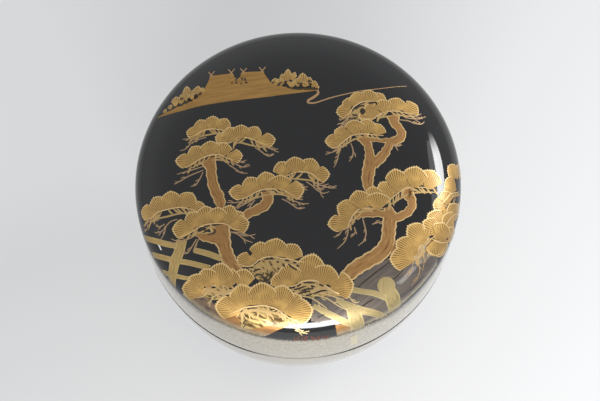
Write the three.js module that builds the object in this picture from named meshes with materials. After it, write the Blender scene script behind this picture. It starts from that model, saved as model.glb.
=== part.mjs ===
// A large lacquer tea caddy of turned wood: a cup-shaped body with a standing lip,
// and a crowned lid that slips over the lip and rests on the ledge around it.
// Millimetres, +Z up, origin in the middle of the foot, on the table.

import * as THREE from "three";

// Outside
const WIDEST_DIAMETER = 74; // across the lid, just under its shoulder
const BODY_HEIGHT = 45.5; // from the table to the ledge where the lid rests
const LID_HEIGHT = 26.5; // from the lid's rim to the middle of its crown
const WIDEST_ABOVE_RIM = 16; // the widest level, measured from the lid's rim
const FOOT_DIAMETER = 45;
const FLANK_POWER = 2.5; // how late the flank turns in towards the foot
const CROWN_FULLNESS = 0.72; // how far out the flat middle of the crown reaches
const SHOULDER_FULLNESS = 0.68; // how high the upright wall reaches into the shoulder

// Walls
const LID_WALL = 2.2;
const LID_TOP_THICKNESS = 2.8;
const BODY_WALL = 3.2;
const FLOOR_THICKNESS = 3.6;
const FLOOR_CORNER = 10; // rounding between the floor and the inner wall

// Where the lid slips over the body
const LIP_HEIGHT = 8;
const LIP_WALL = 1.6;
const LIP_CLEARANCE = 0.3; // all round, between the lip and the lid
const EDGE_ROUND = 0.4; // on both edges at the joint, on the lip and inside the rim

// Foot
const FOOT_RING_WIDTH = 3;
const FOOT_RECESS = 0.7;
const FOOT_ROUND = 1.4;

// Fineness of the turned surfaces
const SEGMENTS = 80;
const FLANK_STEPS = 8;
const WALL_STEPS = 3;
const CROWN_STEPS = 10;
const CAVITY_STEPS = 4;
const CORNER_STEPS = 4;
const ROUND_STEPS = 2;

const BLACK_LACQUER = 0x0b0a0a;
const LACQUER_ROUGHNESS = 0.12;

const widestRadius = WIDEST_DIAMETER / 2;
const footRadius = FOOT_DIAMETER / 2;
const widestLevel = BODY_HEIGHT + WIDEST_ABOVE_RIM;
const jointRadius = flankRadius(BODY_HEIGHT);
const lidInnerRadius = jointRadius - LID_WALL;
const lipOuterRadius = lidInnerRadius - LIP_CLEARANCE;
const lipInnerRadius = lipOuterRadius - LIP_WALL;
const floorLevel = FOOT_RECESS + FLOOR_THICKNESS;

// The outer radius at a height above the table, from the foot to the widest level.
function flankRadius(z) {
  const fall = (widestLevel - z) / widestLevel;
  return widestRadius - (widestRadius - footRadius) * fall ** FLANK_POWER;
}

// The cavity's radius at a height above the table: the flank less the wall, and never wider than the lip.
function cavityRadius(z) {
  return Math.min(lipInnerRadius, flankRadius(z) - BODY_WALL);
}

// Points (radius, height) of a flank stretch between two heights above the table.
function flank(radiusAt, from, to, steps) {
  const points = [];
  for (let i = 0; i <= steps; i++) {
    const z = THREE.MathUtils.lerp(from, to, i / steps);
    points.push(new THREE.Vector2(radiusAt(z), z));
  }
  return points;
}

// Half the crown, from the upright wall at its edge to the axis at its top.
function crown(radius, edgeLevel, topLevel) {
  const rise = topLevel - edgeLevel;
  return new THREE.CubicBezierCurve(
    new THREE.Vector2(radius, edgeLevel),
    new THREE.Vector2(radius, edgeLevel + SHOULDER_FULLNESS * rise),
    new THREE.Vector2(CROWN_FULLNESS * radius, topLevel),
    new THREE.Vector2(0, topLevel),
  ).getPoints(CROWN_STEPS);
}

// A rounded corner from one point to another, turning at the corner between them.
function corner(from, turn, to, steps) {
  return new THREE.QuadraticBezierCurve(from, turn, to).getPoints(steps);
}

// A right-angled corner at (radius, level), rounded over EDGE_ROUND. Each side of it is given as
// the direction, +1 or -1, in which the profile comes in or goes on.
function edge(radius, level, radiusSide, levelSide, levelFirst) {
  const onLevel = new THREE.Vector2(radius + radiusSide * EDGE_ROUND, level);
  const onRadius = new THREE.Vector2(radius, level + levelSide * EDGE_ROUND);
  const turn = new THREE.Vector2(radius, level);
  return levelFirst
    ? corner(onLevel, turn, onRadius, ROUND_STEPS)
    : corner(onRadius, turn, onLevel, ROUND_STEPS);
}

// Turns a profile of (radius, height) points about +Z.
function turned(profile) {
  const distinct = profile.filter(
    (p, i) => i === 0 || p.distanceTo(profile[i - 1]) > 1e-6,
  );
  return new THREE.LatheGeometry(distinct, SEGMENTS).rotateX(Math.PI / 2);
}

function lacquered(name, geometry) {
  const material = new THREE.MeshStandardMaterial({
    color: BLACK_LACQUER,
    roughness: LACQUER_ROUGHNESS,
    metalness: 0,
  });
  const mesh = new THREE.Mesh(geometry, material);
  mesh.name = name;
  return mesh;
}

// The body: foot ring, flank, ledge, standing lip and cavity.
function body() {
  const ringOuterRadius = footRadius - FOOT_ROUND;
  const ringInnerRadius = ringOuterRadius - FOOT_RING_WIDTH;
  const lipTop = BODY_HEIGHT + LIP_HEIGHT;
  const cornerTop = floorLevel + FLOOR_CORNER;
  const floorRadius = cavityRadius(floorLevel);
  return turned([
    new THREE.Vector2(0, FOOT_RECESS),
    new THREE.Vector2(ringInnerRadius, FOOT_RECESS),
    new THREE.Vector2(ringInnerRadius, 0),
    ...corner(
      new THREE.Vector2(ringOuterRadius, 0),
      new THREE.Vector2(footRadius, 0),
      new THREE.Vector2(flankRadius(FOOT_ROUND), FOOT_ROUND),
      ROUND_STEPS,
    ),
    ...flank(flankRadius, FOOT_ROUND, BODY_HEIGHT - EDGE_ROUND, FLANK_STEPS),
    ...edge(jointRadius, BODY_HEIGHT, -1, -1, false),
    new THREE.Vector2(lipOuterRadius, BODY_HEIGHT),
    ...edge(lipOuterRadius, lipTop, -1, -1, false),
    ...edge(lipInnerRadius, lipTop, 1, -1, true),
    ...flank(cavityRadius, BODY_HEIGHT, cornerTop, CAVITY_STEPS),
    ...corner(
      new THREE.Vector2(cavityRadius(cornerTop), cornerTop),
      new THREE.Vector2(floorRadius, floorLevel),
      new THREE.Vector2(floorRadius - FLOOR_CORNER, floorLevel),
      CORNER_STEPS,
    ),
    new THREE.Vector2(0, floorLevel),
  ]);
}

// The lid, with the middle of its rim's plane as its own origin.
function lid() {
  const wall = flank(flankRadius, BODY_HEIGHT + EDGE_ROUND, widestLevel, WALL_STEPS);
  const ceiling = crown(
    lidInnerRadius,
    WIDEST_ABOVE_RIM,
    LID_HEIGHT - LID_TOP_THICKNESS,
  );
  return turned([
    ...ceiling.reverse(),
    ...edge(lidInnerRadius, 0, 1, 1, false),
    ...edge(jointRadius, 0, -1, 1, true),
    ...wall.map((p) => new THREE.Vector2(p.x, p.y - BODY_HEIGHT)),
    ...crown(widestRadius, WIDEST_ABOVE_RIM, LID_HEIGHT),
  ]);
}

const caddy = new THREE.Group();
caddy.add(lacquered("body", body()));

const restingLid = lacquered("lid", lid());
restingLid.position.z = BODY_HEIGHT;
caddy.add(restingLid);

export default caddy;
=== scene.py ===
# Looks of the lacquer tea caddy: black lacquer turned smooth, gold powder low on its wall, and a raised
# gold picture of pines, rails and a far shore laid over its crown. Sizes are in millimetres until a piece
# is finished.

import bisect
import math
import random

import bpy
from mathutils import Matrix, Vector


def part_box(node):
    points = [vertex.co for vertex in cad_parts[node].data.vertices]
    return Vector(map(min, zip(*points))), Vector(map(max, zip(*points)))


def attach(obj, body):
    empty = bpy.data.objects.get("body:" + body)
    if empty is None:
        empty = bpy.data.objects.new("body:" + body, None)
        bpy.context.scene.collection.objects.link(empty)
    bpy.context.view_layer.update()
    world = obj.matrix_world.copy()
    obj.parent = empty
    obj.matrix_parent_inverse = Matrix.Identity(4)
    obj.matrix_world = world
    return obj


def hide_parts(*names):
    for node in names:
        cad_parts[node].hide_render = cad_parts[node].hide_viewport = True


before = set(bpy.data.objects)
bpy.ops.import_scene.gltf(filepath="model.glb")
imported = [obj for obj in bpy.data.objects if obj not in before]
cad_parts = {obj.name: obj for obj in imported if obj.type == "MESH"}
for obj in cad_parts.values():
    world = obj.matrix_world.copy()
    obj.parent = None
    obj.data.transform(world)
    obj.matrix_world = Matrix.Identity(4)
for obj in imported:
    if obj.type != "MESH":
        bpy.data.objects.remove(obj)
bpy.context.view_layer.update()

MM = 0.001

# The caddy's own sizes, from the frame
lid_low, lid_high = (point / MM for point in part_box("lid"))
_, body_high = (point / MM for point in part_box("body"))
WIDEST_RADIUS = lid_high.x
CROWN_LEVEL = lid_high.z
JOINT_LEVEL = lid_low.z
LIP_TOP = body_high.z

# The rest of the turned shape
WIDEST_LEVEL = JOINT_LEVEL + 16
FOOT_RADIUS = 22.5
FLANK_POWER = 2.5
CROWN_FULLNESS = 0.72
SHOULDER_FULLNESS = 0.68
LID_WALL = 2.2
LID_TOP_THICKNESS = 2.8
BODY_WALL = 3.2
FLOOR_LEVEL = 4.3
FLOOR_CORNER = 10
LIP_WALL = 1.6
LIP_CLEARANCE = 0.3
EDGE_ROUND = 0.25
RIM_ROUND = 0.8
LEDGE_ROUND = 0.5
FOOT_RING_WIDTH = 3
FOOT_RECESS = 0.7
FOOT_ROUND = 1.4
TURNING_STEPS = 176

# Edges sharper than these angles stay sharp, on the turned pieces and in the picture
SHARP_TURNED = math.radians(50)
SHARP_IN_PICTURE = math.radians(35)

# How the picture lies on the lacquer: how deep its pieces reach into it, their heights over it, the
# height of one layer of tufts, and the relief of what is drawn
SUNK = 0.15
RIBBON_DEPTH = 0.7
GROUND_HEIGHT = 0.02
RAIL_HEIGHT = 0.03
SHORE_HEIGHT = 0.04
FINIAL_HEIGHT = 0.05
TRUNK_HEIGHT = 0.035
TWIG_HEIGHT = 0.045
TUFT_HEIGHT = 0.06
LAYER = 0.06
LINE_RELIEF = 0.02
STROKE_RELIEF = LINE_RELIEF / 2
RAIL_RELIEF = 0.01

# Small steps in height between pieces that cross: trunks or rails, forks, woven twigs, areas, and caps
TRUNK_STEP = 0.002
FORK_STEP = 0.003
WEAVE_STEP = 0.004
AREA_STEP = 0.01
CAP_STEP = 0.02

# A tuft, one unit long and wide: its rows from the root to the rim, half the angle of its fan, how soon it
# opens, half the width of its root, how far its rim falls back at the sides and its needles stand out,
# and where its ridges end and its rim begins
TUFT_ROWS = (0, 0.28, 0.52, 0.72, 0.86, 0.94, 0.97, 1)
TUFT_SPREAD = 1.25
TUFT_OPENING = 0.92
TUFT_ROOT = 0.12
RIM_FALL = 0.4
NEEDLE_TIP = 0.055
RIDGES_END = 0.9
RIM_START = 0.96

# Its needles: their numbers on the blanks, and their pitch; and how full tufts are, near and far
NEEDLES = (5, 7, 9, 11, 13)
NEEDLE_PITCH = 0.36
TUFT_FULLNESS = 1.2
FAR_FULLNESS = 1.05

# How far the needles behind a pad's tufts lie above its line, and how wide, as shares of a tuft's length
BED_RISE = 0.27
BED_WIDTH = 0.5

# Bark: its knobs, how often they come, and how often and how high the finer ones on them
BARK_KNOBS = 0.09
KNOB_TURNS = 3.4
FINER_KNOBS = (2.3, 0.5)

# Twigs: their width, where they fork, the pitch of those under a pad and of those across a bed
TWIG_WIDTH = 0.27
FORKS = (0.4, 0.68)
STRUT_PITCH = 0.95
WEAVE_PITCH = 0.42
WIDE_WEAVE_PITCH = 0.9

# Slivers of lacquer in the gold: their width in front of a line and behind it, and that line
NEAR_SLIVER = 0.26
FAR_SLIVER = 0.4
NEAR_SLIVERS_BEFORE = -31.2

# Powder on the lid: the level that it is dense up to, how much lower that is at the back and at the sides,
# and from where to where; how soft its edge is in the middle and at the sides, and how it wanders
POWDER_TOP = WIDEST_LEVEL + 0.85
POWDER_LOWERED = 5
LOWERED_FROM = (-26, -8)
SIDES_LOWERED = 4
SIDES_FROM = (14, 24)
POWDER_FADE = (1.4, 6)
FADE_SIDES = (8, 26)
FADE_SHARES = (-0.35, 0.85)
LID_WANDER = 0.8

# Powder on the body: the levels that it fades between, and how it wanders
BODY_POWDER = (10, 26)
BODY_WANDER = 3

# All powder: its density, the size of its flakes, the scale that its edge wanders on, the size of patches of
# one tone, and how much more of the darker tone is painted as shade on the left, from where to where, and on
# the body
POWDER_DENSITY = 0.9
FLAKE = 0.12
WANDER_SCALE = 160
TONE_PATCH = 0.5
SHADE_LEFT_FROM = (-22, 4)
PAINTED_SHADE_LEFT = 0.35
PAINTED_SHADE_BODY = 0.65

# The bare groove at the joint, painted dark as shade: how far off it powder begins and is full, the share of
# this that holds at the front, and from where to where aside the groove grows to its full width
JOINT_BARE_SHADE = (0.52, 0.64)
BARE_SHADE_AT_FRONT = 0.55
BARE_SHADE_FROM = (3, 14)

# The levels that the picture turns into powder between and that it ends between, and the most powder in it
PICTURE_FADE = (WIDEST_LEVEL + 1.7, WIDEST_LEVEL + 3.5)
PICTURE_END = (WIDEST_LEVEL + 0.2, WIDEST_LEVEL + 2.4)
MOST_POWDER = 0.8

# Colours of the lacquer and its powder
LACQUER_BLACK = (0.0035, 0.0035, 0.004)
SLIVER_BROWN = (0.03, 0.018, 0.006)
POWDER_LIGHT = (0.50, 0.445, 0.31)
POWDER_DARK = (0.33, 0.275, 0.175)
POWDER_GROUND = (0.10, 0.08, 0.06)
# Painted shade in the groove at the joint: lighter at the front, near black aside
GROOVE_SHADE_AT_FRONT = (0.2, 0.19, 0.17)
GROOVE_SHADE_ASIDE = (0.001, 0.001, 0.001)

# Polish, as roughness
LACQUER_POLISH = 0.045
POWDER_POLISH = 0.36
COAT_POLISH = 0.06

# All gold: the scale of its grain, and the roughness that the grain varies between
GRAIN_SCALE = 9000
GRAIN_POLISH = (0.4, 0.56)

# Colours of a tuft: its needles, the grooves between them, and its rim
NEEDLE_COLORS = ((0.485, 0.30, 0.09), (0.115, 0.062, 0.022), (0.6, 0.43, 0.20))

# Golds drawn as ribbons: their colour, their streaks' and their outlines', the share of the width that an
# outline takes, and the level of noise that the streaks end at
DRAWN_GOLDS = {
    "pad_line_gold": ((0.6, 0.44, 0.23), (0.54, 0.38, 0.18), (0.6, 0.44, 0.23), 0.1, 0.47),
    "twig_gold": ((0.43, 0.29, 0.125), (0.25, 0.16, 0.07), (0.46, 0.33, 0.16), 0.1, 0.47),
    "twig_tip_gold": ((0.36, 0.24, 0.14), (0.24, 0.13, 0.085), (0.42, 0.3, 0.18), 0.1, 0.47),
    "pale_twig_gold": ((0.44, 0.33, 0.17), (0.3, 0.21, 0.1), (0.5, 0.39, 0.21), 0.1, 0.47),
    "bark_gold": ((0.31, 0.172, 0.068), (0.15, 0.066, 0.033), (0.55, 0.39, 0.19), 0.07, 0.47),
    "rail_gold_left": ((0.39, 0.275, 0.115), (0.28, 0.19, 0.075), (0.5, 0.39, 0.175), 0.05, 0.5),
    "rail_gold_right": ((0.335, 0.262, 0.128), (0.245, 0.19, 0.088), (0.43, 0.355, 0.18), 0.05, 0.5),
    "post_on_wall_gold": ((0.6, 0.54, 0.4), (0.6, 0.54, 0.4), (0.6, 0.54, 0.4), 0.05, 0.47),
    "grass_gold": ((0.18, 0.07, 0.05), (0.11, 0.04, 0.03), (0.18, 0.07, 0.05), 0.1, 0.47),
    "shore_gold": ((0.4, 0.25, 0.13), (0.3, 0.18, 0.1), (0.45, 0.3, 0.17), 0.1, 0.47),
}

# Metal brushed over areas: its colour and its streaks', their direction in degrees from the right, their
# scale along and across it, how softly they turn into each other, and the weight of a clear coat
BRUSHED_METALS = {
    "twig_bed_gold": ((0.41, 0.28, 0.1), (0.055, 0.034, 0.012), -25, 600, 2000, 0.09, 0.5),
    "shining_bed_gold": ((0.4, 0.285, 0.11), (0.06, 0.034, 0.012), -20, 350, 1600, 0.1, 0.3),
    "pale_bed_gold": ((0.4, 0.34, 0.23), (0.17, 0.14, 0.1), 60, 500, 1500, 0.12, 0.5),
    "deck_silver": ((0.125, 0.1, 0.08), (0.08, 0.066, 0.058), 38, 160, 1700, 0.16, 1.0),
    "ground_red_gold": ((0.29, 0.15, 0.05), (0.19, 0.09, 0.035), -14, 250, 1500, 0.16, 0.3),
    "ground_brown_gold": ((0.2, 0.13, 0.08), (0.07, 0.05, 0.04), -40, 400, 1500, 0.16, 0.5),
    "hill_gold": ((0.375, 0.22, 0.075), (0.29, 0.168, 0.06), 8, 160, 1700, 0.16, 0.0),
}

# The camera, fitted to the photograph's outline of the caddy
CAMERA_ELEVATION = math.radians(70.71)
CAMERA_DISTANCE = 480
PIXELS_PER_MM = 4.3662
PICTURE_WIDTH = 600
SENSOR_WIDTH = 36
AIM = Vector((0.44, 0, JOINT_LEVEL + 12))
AIM_DROP = 2.28

# The room: its tint, its brightness at the horizon, halfway up and overhead, and the heights that these
# turn into each other between
ROOM_TINT = (0.97, 0.985, 1, 1)
ROOM_BRIGHTNESS = (0.8, 0.92, 0.66)
LOWER_ROOM = (0, 0.4)
UPPER_ROOM = (0.35, 0.95)

# The table: its colour, and its own glow: in the middle, what it gains per metre to the right and to the
# back, its least and most, and its tint
TABLE_COLOR = (0.265, 0.266, 0.269)
TABLE_GLOW = (0.392, 1.2, -0.95)
GLOW_LIMITS = (0.3, 0.53)
GLOW_TINT = (0.995, 1, 1.01, 1)

# The windows that the lacquer mirrors: azimuth and elevation in degrees, width, height, radiance, shape,
# and the share of the width over which the two sides are soft
WINDOWS = {
    "front_window": (-87.3, 23.5, 661, 250, 23.5, "RECTANGLE", 0.12),
    "right_window": (22.5, 32.3, 500, 190, 18, "ELLIPSE", 0.3),
    "right_window_glow": (21.3, 38.4, 430, 210, 1.8, "ELLIPSE", 0),
    "side_window": (-28, 32, 157, 157, 4.5, "RECTANGLE", 0),
    "left_spark": (-169, 9.5, 40, 66, 15, "RECTANGLE", 0),
}
WINDOW_DISTANCE = 900

# The picture, in millimetres on the unrolled crown: x to the right and y to the back of its middle. Its
# places are set after the photograph.

# Pads of pine: the line along the underside, from left to right; the tufts from back to front, each
# with its root, its tip and its width; and the stretch of the line that twigs hang under, with their drop
PADS_LEFT = [
    ([(-24.6, 8.3), (-23, 8.7), (-21.8, 9.5), (-20.6, 9.9), (-19.2, 10), (-17.6, 9.8), (-16.2, 9.4)],
     [(-21.3, 9.3, -22.2, 12.5, 2.9), (-17.5, 9.6, -16, 12.4, 2.8), (-19.4, 9.7, -19.1, 13.2, 3.1),
      (-22, 8.9, -25.1, 9.7, 2.6)],
     (0.08, 0.95, 1.3)),
    ([(-17.6, 6.7), (-15.7, 6.4), (-14.8, 6.7), (-14, 7.3), (-12.9, 7.7), (-11.5, 7.6), (-10.2, 7.2),
      (-9, 6.6), (-7.8, 6), (-6.5, 5.6)],
     [(-14.8, 6.9, -18.5, 8, 2.8), (-14.4, 6.8, -15.7, 10.2, 3.4), (-10.7, 7.1, -9.1, 10.2, 2.9),
      (-12.9, 7.4, -12.6, 10.7, 3.3), (-9.3, 6.6, -5.1, 7.1, 3)],
     (0.26, 0.92, 1.5)),
    ([(-25.2, 1), (-24.2, 1.4), (-22.6, 2.4), (-21.2, 3.1), (-19.6, 3.6), (-18, 3.7), (-16.8, 3.3),
      (-15.4, 2.6), (-14.4, 2.1)],
     [(-22, 2.9, -23.9, 5.9, 3.2), (-17.2, 3.3, -16.3, 6.5, 3.4), (-19.4, 3.4, -19.8, 7, 3.9),
      (-22.6, 2.3, -27.5, 2.9, 3), (-15.9, 3.1, -12.4, 3.3, 2.8)],
     (0.12, 0.94, 1.2)),
    ([(-35.6, -9.9), (-33.4, -9.9), (-32.2, -9), (-30.5, -8.6), (-28, -8.3), (-26, -8.3), (-24, -8.8),
      (-22, -9.6)],
     [(-24.2, -9, -20.7, -8.2, 2.6), (-31, -8.7, -32.8, -5.3, 3.5), (-25.8, -8.5, -23.6, -5.1, 3.7),
      (-28.5, -8.4, -28.7, -4.3, 3.9), (-32.3, -9, -36.6, -8, 3.2)],
     (0.05, 0.92, 1.6)),
    ([(-26.4, -15), (-24.2, -14.3), (-22.6, -13.4), (-21, -12.7), (-19, -12.4), (-17, -12.4), (-15.6, -12.8),
      (-14.4, -13.7), (-12.9, -14)],
     [(-22.4, -12.9, -24.3, -9.6, 3.3), (-20.2, -12.4, -20.7, -8.3, 3.5), (-15.4, -12.9, -12.2, -10.1, 3.2),
      (-15.9, -12.4, -14.9, -8.3, 3.2), (-18, -12.3, -17.7, -8.7, 3.5), (-23.2, -13.4, -28.1, -13.1, 3.7),
      (-15, -13.2, -10.9, -12.3, 3.5)],
     (0.12, 0.5, 1.2)),
    ([(-2.9, -1.9), (-2, -1.4), (-1, -0.9), (0.5, -0.7), (2, -0.8), (3.2, -1.3), (4, -2), (5, -2.8)],
     [(-2.6, -1.6, -4.3, 1.6, 3.5), (2, -0.9, 3.3, 2.4, 3.5), (-0.5, -0.9, -0.8, 2.8, 3.7),
      (2.9, -1.4, 7, -1.2, 3.2)],
     (0.1, 0.95, 1.8)),
    ([(-13.6, -7), (-12, -6.8), (-10.5, -6.1), (-9.2, -5.3), (-7.5, -4.8), (-5.5, -4.7), (-3.5, -4.9),
      (-2, -5.7), (-0.4, -6.7)],
     [(-9.6, -5.5, -11.2, -1.9, 3.5), (-6.7, -4.9, -7.4, -0.7, 3.7), (-4, -4.9, -4, -1.5, 4.3),
      (-10, -5.6, -15.3, -5.2, 3.1), (-3.2, -5.1, 1.3, -4.9, 3.7)],
     (0.08, 0.95, 1.3)),
]
PADS_RIGHT = [
    ([(10.4, 12.6), (11.5, 13.4), (12.2, 14.6), (12.8, 15.3), (14.2, 16.3), (15.6, 16.7), (17, 16.7),
      (18, 16.4)],
     [(12.8, 15.1, 10.1, 16.3, 3.2), (17.3, 16, 19.3, 18.8, 3.2), (14.2, 16.2, 12.7, 18.7, 3.3),
      (15.8, 16.6, 16.6, 19.6, 3.2), (12.2, 14.2, 8.7, 13.7, 2.8)],
     (0.08, 0.9, 0.9)),
    ([(14.2, 12.3), (16.8, 12.3), (17.6, 12.9), (18.6, 13.6), (19.8, 14.2), (21, 14.5), (22.6, 14.6),
      (24.2, 14.4), (26.8, 14.3)],
     [(17.6, 13, 13.7, 13, 2.9), (18, 13.4, 15.3, 15.6, 3.4), (19.6, 14.1, 18.8, 17.3, 3.6),
      (24.2, 14.5, 27.3, 16.8, 3.5), (22.2, 14.6, 22.9, 18.1, 3.7)],
     (0.26, 0.95, 1.2)),
    ([(7.6, 5.1), (8.8, 5.2), (9.6, 6), (10.7, 7), (12, 8), (13.4, 8.4), (15.5, 8.5), (17.5, 8.3),
      (19.2, 8.3)],
     [(17.2, 8.4, 18.6, 11, 3.3), (11.3, 7.5, 8.3, 9.3, 3.3), (15.4, 8.5, 15.5, 12.2, 3.6),
      (13, 8.3, 12.5, 11.9, 3.7), (10.4, 6.7, 6.1, 6.6, 2.9)],
     (0.15, 0.9, 1)),
    ([(19.6, -8), (20.4, -7), (21.4, -6), (22.6, -5), (23.8, -4.2), (25, -3.8), (27, -3.6), (29, -3.6),
      (31.6, -3.7)],
     [(20.9, -6.4, 18.3, -3, 3.6), (22.4, -4.9, 21.6, 0.3, 4.2), (29, -3.7, 30.8, 0.6, 4.6),
      (25.9, -3.8, 26.6, 1.2, 4.7)],
     (0.05, 0.97, 1.5)),
    ([(9.8, -14.2), (10.8, -13.6), (11.4, -12.2), (11.9, -11.1), (12.6, -10.1), (13.8, -9.2), (15.5, -9),
      (17, -9.1), (19.6, -9.1)],
     [(17, -7.5, 16.5, -4, 3.2), (14.4, -9.2, 12.9, -5.1, 3.9), (12.9, -10.2, 8.7, -8.6, 3.8),
      (17.6, -9.2, 17.5, -5.4, 4.9), (11.6, -12.2, 6.6, -12.9, 3.3)],
     (0.2, 0.8, 1)),
    ([(31.4, -8.6), (32.6, -7), (33.8, -5.6), (35, -4.2), (36.6, -3.6), (38, -3)],
     [(39.4, 0.6, 39.2, 4.4, 3.8), (37.8, 0.4, 34.5, 2.4, 3.5), (36.6, -2.8, 33.6, -1.2, 4.2),
      (33.6, -7.6, 30.4, -7.4, 3.4), (34.4, -6.8, 33, -3.9, 3.2)],
     (0.05, 0.9, 1)),
    ([(29.6, -15.4), (31, -14.4), (32.8, -13), (34, -11.4), (35.2, -9.8), (37, -8.6), (38.6, -9)],
     [(40.6, -10, 38.4, -5.6, 4), (37.6, -9.8, 34.6, -6.8, 4.2), (33.6, -12.6, 29.2, -9.6, 4.4),
      (36.4, -12, 33, -9.6, 4.4), (33.2, -13.8, 27.9, -11.6, 3.6)],
     None),
    ([(25.6, -21.6), (26.4, -19), (27.4, -17), (28.8, -15.6), (30.4, -15.4)],
     [(28.6, -16, 24.4, -12.8, 4.2), (26.6, -18.8, 21.7, -16.4, 4), (25.8, -20, 20.3, -20.4, 4.3)],
     (0.1, 0.95, 1.6)),
    ([(30, -15.2), (31, -15.6), (33, -15.8), (35.4, -15.2)],
     [(35.6, -15.4, 36.6, -11.8, 4.2), (32.2, -15.4, 33.2, -11.3, 4.6), (31.4, -15.6, 34.6, -18, 4.2),
      (31.2, -15.4, 31, -18.9, 4)],
     None),
]
PADS_FRONT = [
    ([(-13, -21.6), (-12, -22.1), (-10.6, -22.2), (-9.6, -21.6), (-8.6, -20.8), (-7.4, -20.3), (-5.5, -20.1),
      (-3.8, -20.5), (-2, -20.7), (-0.2, -21.2), (1.4, -21.4)],
     [(-10, -21.7, -13.4, -20.1, 3.1), (-2.3, -20.8, -0.2, -17.6, 3.9), (-8.2, -20.8, -8.4, -16.8, 4),
      (-5.3, -20.2, -4.6, -16.1, 4.3)],
     None),
    ([(-5.2, -27.4), (-3.4, -26.9), (-1.2, -26.7), (-0.2, -26.3), (0.8, -25.7), (2.5, -25.4), (4.2, -25.6),
      (5.6, -26.3), (7.4, -27.6), (9, -28.3)],
     [(-3, -27.2, -5, -24, 3.6), (-1.6, -26.8, -2.2, -21.8, 4.4), (2.2, -25.6, 3.4, -19.6, 4.9),
      (5.2, -26.2, 7, -22.2, 4.8), (7.2, -26.9, 12.2, -26.2, 4.9)],
     (0.42, 0.8, 1)),
    ([(-22, -27.6), (-20.6, -26.6), (-19.4, -26.2), (-17, -26.3), (-15, -26.5), (-14.2, -26.8)],
     [(-12.6, -27, -11.7, -22.8, 4.1), (-15.6, -26.6, -14.6, -22.7, 3.8), (-17.6, -26.4, -16.9, -21.3, 4.6),
      (-19.8, -26.5, -20.9, -22.4, 4), (-21.4, -27.2, -24.4, -24, 4), (-21.6, -27.6, -26.6, -26.6, 4)],
     (0.1, 0.9, 1.4)),
    ([(-15.4, -32.6), (-13.6, -31.9), (-12, -31.2), (-10, -31), (-8, -30.8), (-6, -31.2), (-4.6, -31.8),
      (-3, -33), (-1.4, -33.9), (0.6, -34.4)],
     [(-12.8, -31.8, -15.8, -28.2, 4.2), (-2.8, -32.2, 0.4, -28.7, 4.4), (-12, -31.5, -12.8, -26.1, 4.7),
      (-4.2, -31.6, -3.2, -26.5, 4.7), (-8, -31.2, -8, -25.8, 5.1), (-13, -31.9, -18.8, -30.8, 4.6),
      (-3.2, -32.7, 3.2, -31.8, 4.9)],
     (0.12, 0.86, 1.2)),
]

# Trunks and branches: a centre line, and the widths along it
TRUNKS_LEFT = [
    ([(-20.2, 2.8), (-19.5, 0.8), (-19.2, -1.6), (-18.7, -4), (-17.7, -6.2), (-17.2, -8), (-17.2, -9)],
     [4.2, 2.5, 2.3, 2.5, 2.7, 2.3, 0.6]),
    ([(-17.4, -12.7), (-16.9, -15.5), (-16.2, -18), (-15.4, -20.4), (-14, -22.6), (-12.8, -24.4)],
     [4.8, 4, 3, 3.2, 2.8, 2.4]),
    ([(-22.6, -14.5), (-20.8, -15.3), (-18.6, -15.6), (-17, -16.4)], [0.9, 2, 2.7, 2.4]),
    ([(-6.8, -5.2), (-6.7, -7), (-7.4, -8.4), (-9.2, -9.5), (-11.2, -10.4), (-12.8, -11.6)],
     [3, 2.5, 2.5, 2.3, 2.1, 2.2]),
]
TRUNKS_RIGHT = [
    ([(14.4, 7.9), (15.5, 6.2), (15.9, 4.6), (16.1, 3), (16, 1), (15.6, -1.2), (15.5, -3), (16.2, -5.6)],
     [2.9, 2, 1.9, 2.4, 3, 2.9, 2.6, 2]),
    ([(21.4, 13.6), (22, 11.4), (23.1, 10), (23.3, 8.5), (22.3, 7.4), (20.8, 6.5), (20, 5.2), (19.4, 4),
      (18.2, 2.6), (16.8, 1.4)],
     [3.2, 2.2, 2, 2.2, 2.2, 1.9, 1.9, 2.2, 2.4, 2.6]),
    ([(14.8, 7.6), (17.4, 7.1), (20.2, 7.2), (21.6, 7.4)], [1.3, 0.8, 1.1, 1.4]),
    ([(19.9, -8.6), (20.4, -10.4), (20.3, -12), (20.1, -14), (19.8, -16.4), (18.4, -18.9), (15.6, -20.8),
      (13, -22.4), (11, -24.2), (9.8, -26)],
     [1.6, 3.2, 3.3, 3.2, 3.2, 3.6, 3.4, 3.4, 3.2, 3]),
    ([(20.2, -11.4), (19.2, -10.4), (17.6, -10.1), (15.5, -10.2), (13.8, -10.4), (12.8, -11.4)],
     [0.8, 1.6, 1.8, 1.9, 1.7, 1]),
    ([(20.8, -11.2), (22.8, -10.6), (24.4, -9.6), (25.4, -8.2), (25.3, -6.6), (24.4, -5.2), (25.6, -4.2)],
     [2.6, 1.9, 2, 1.9, 2.2, 2.6, 2]),
    ([(19.8, -17.4), (22, -18.5), (24, -18.8), (26.4, -18)], [2.2, 1.7, 1.5, 1.2]),
]

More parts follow.
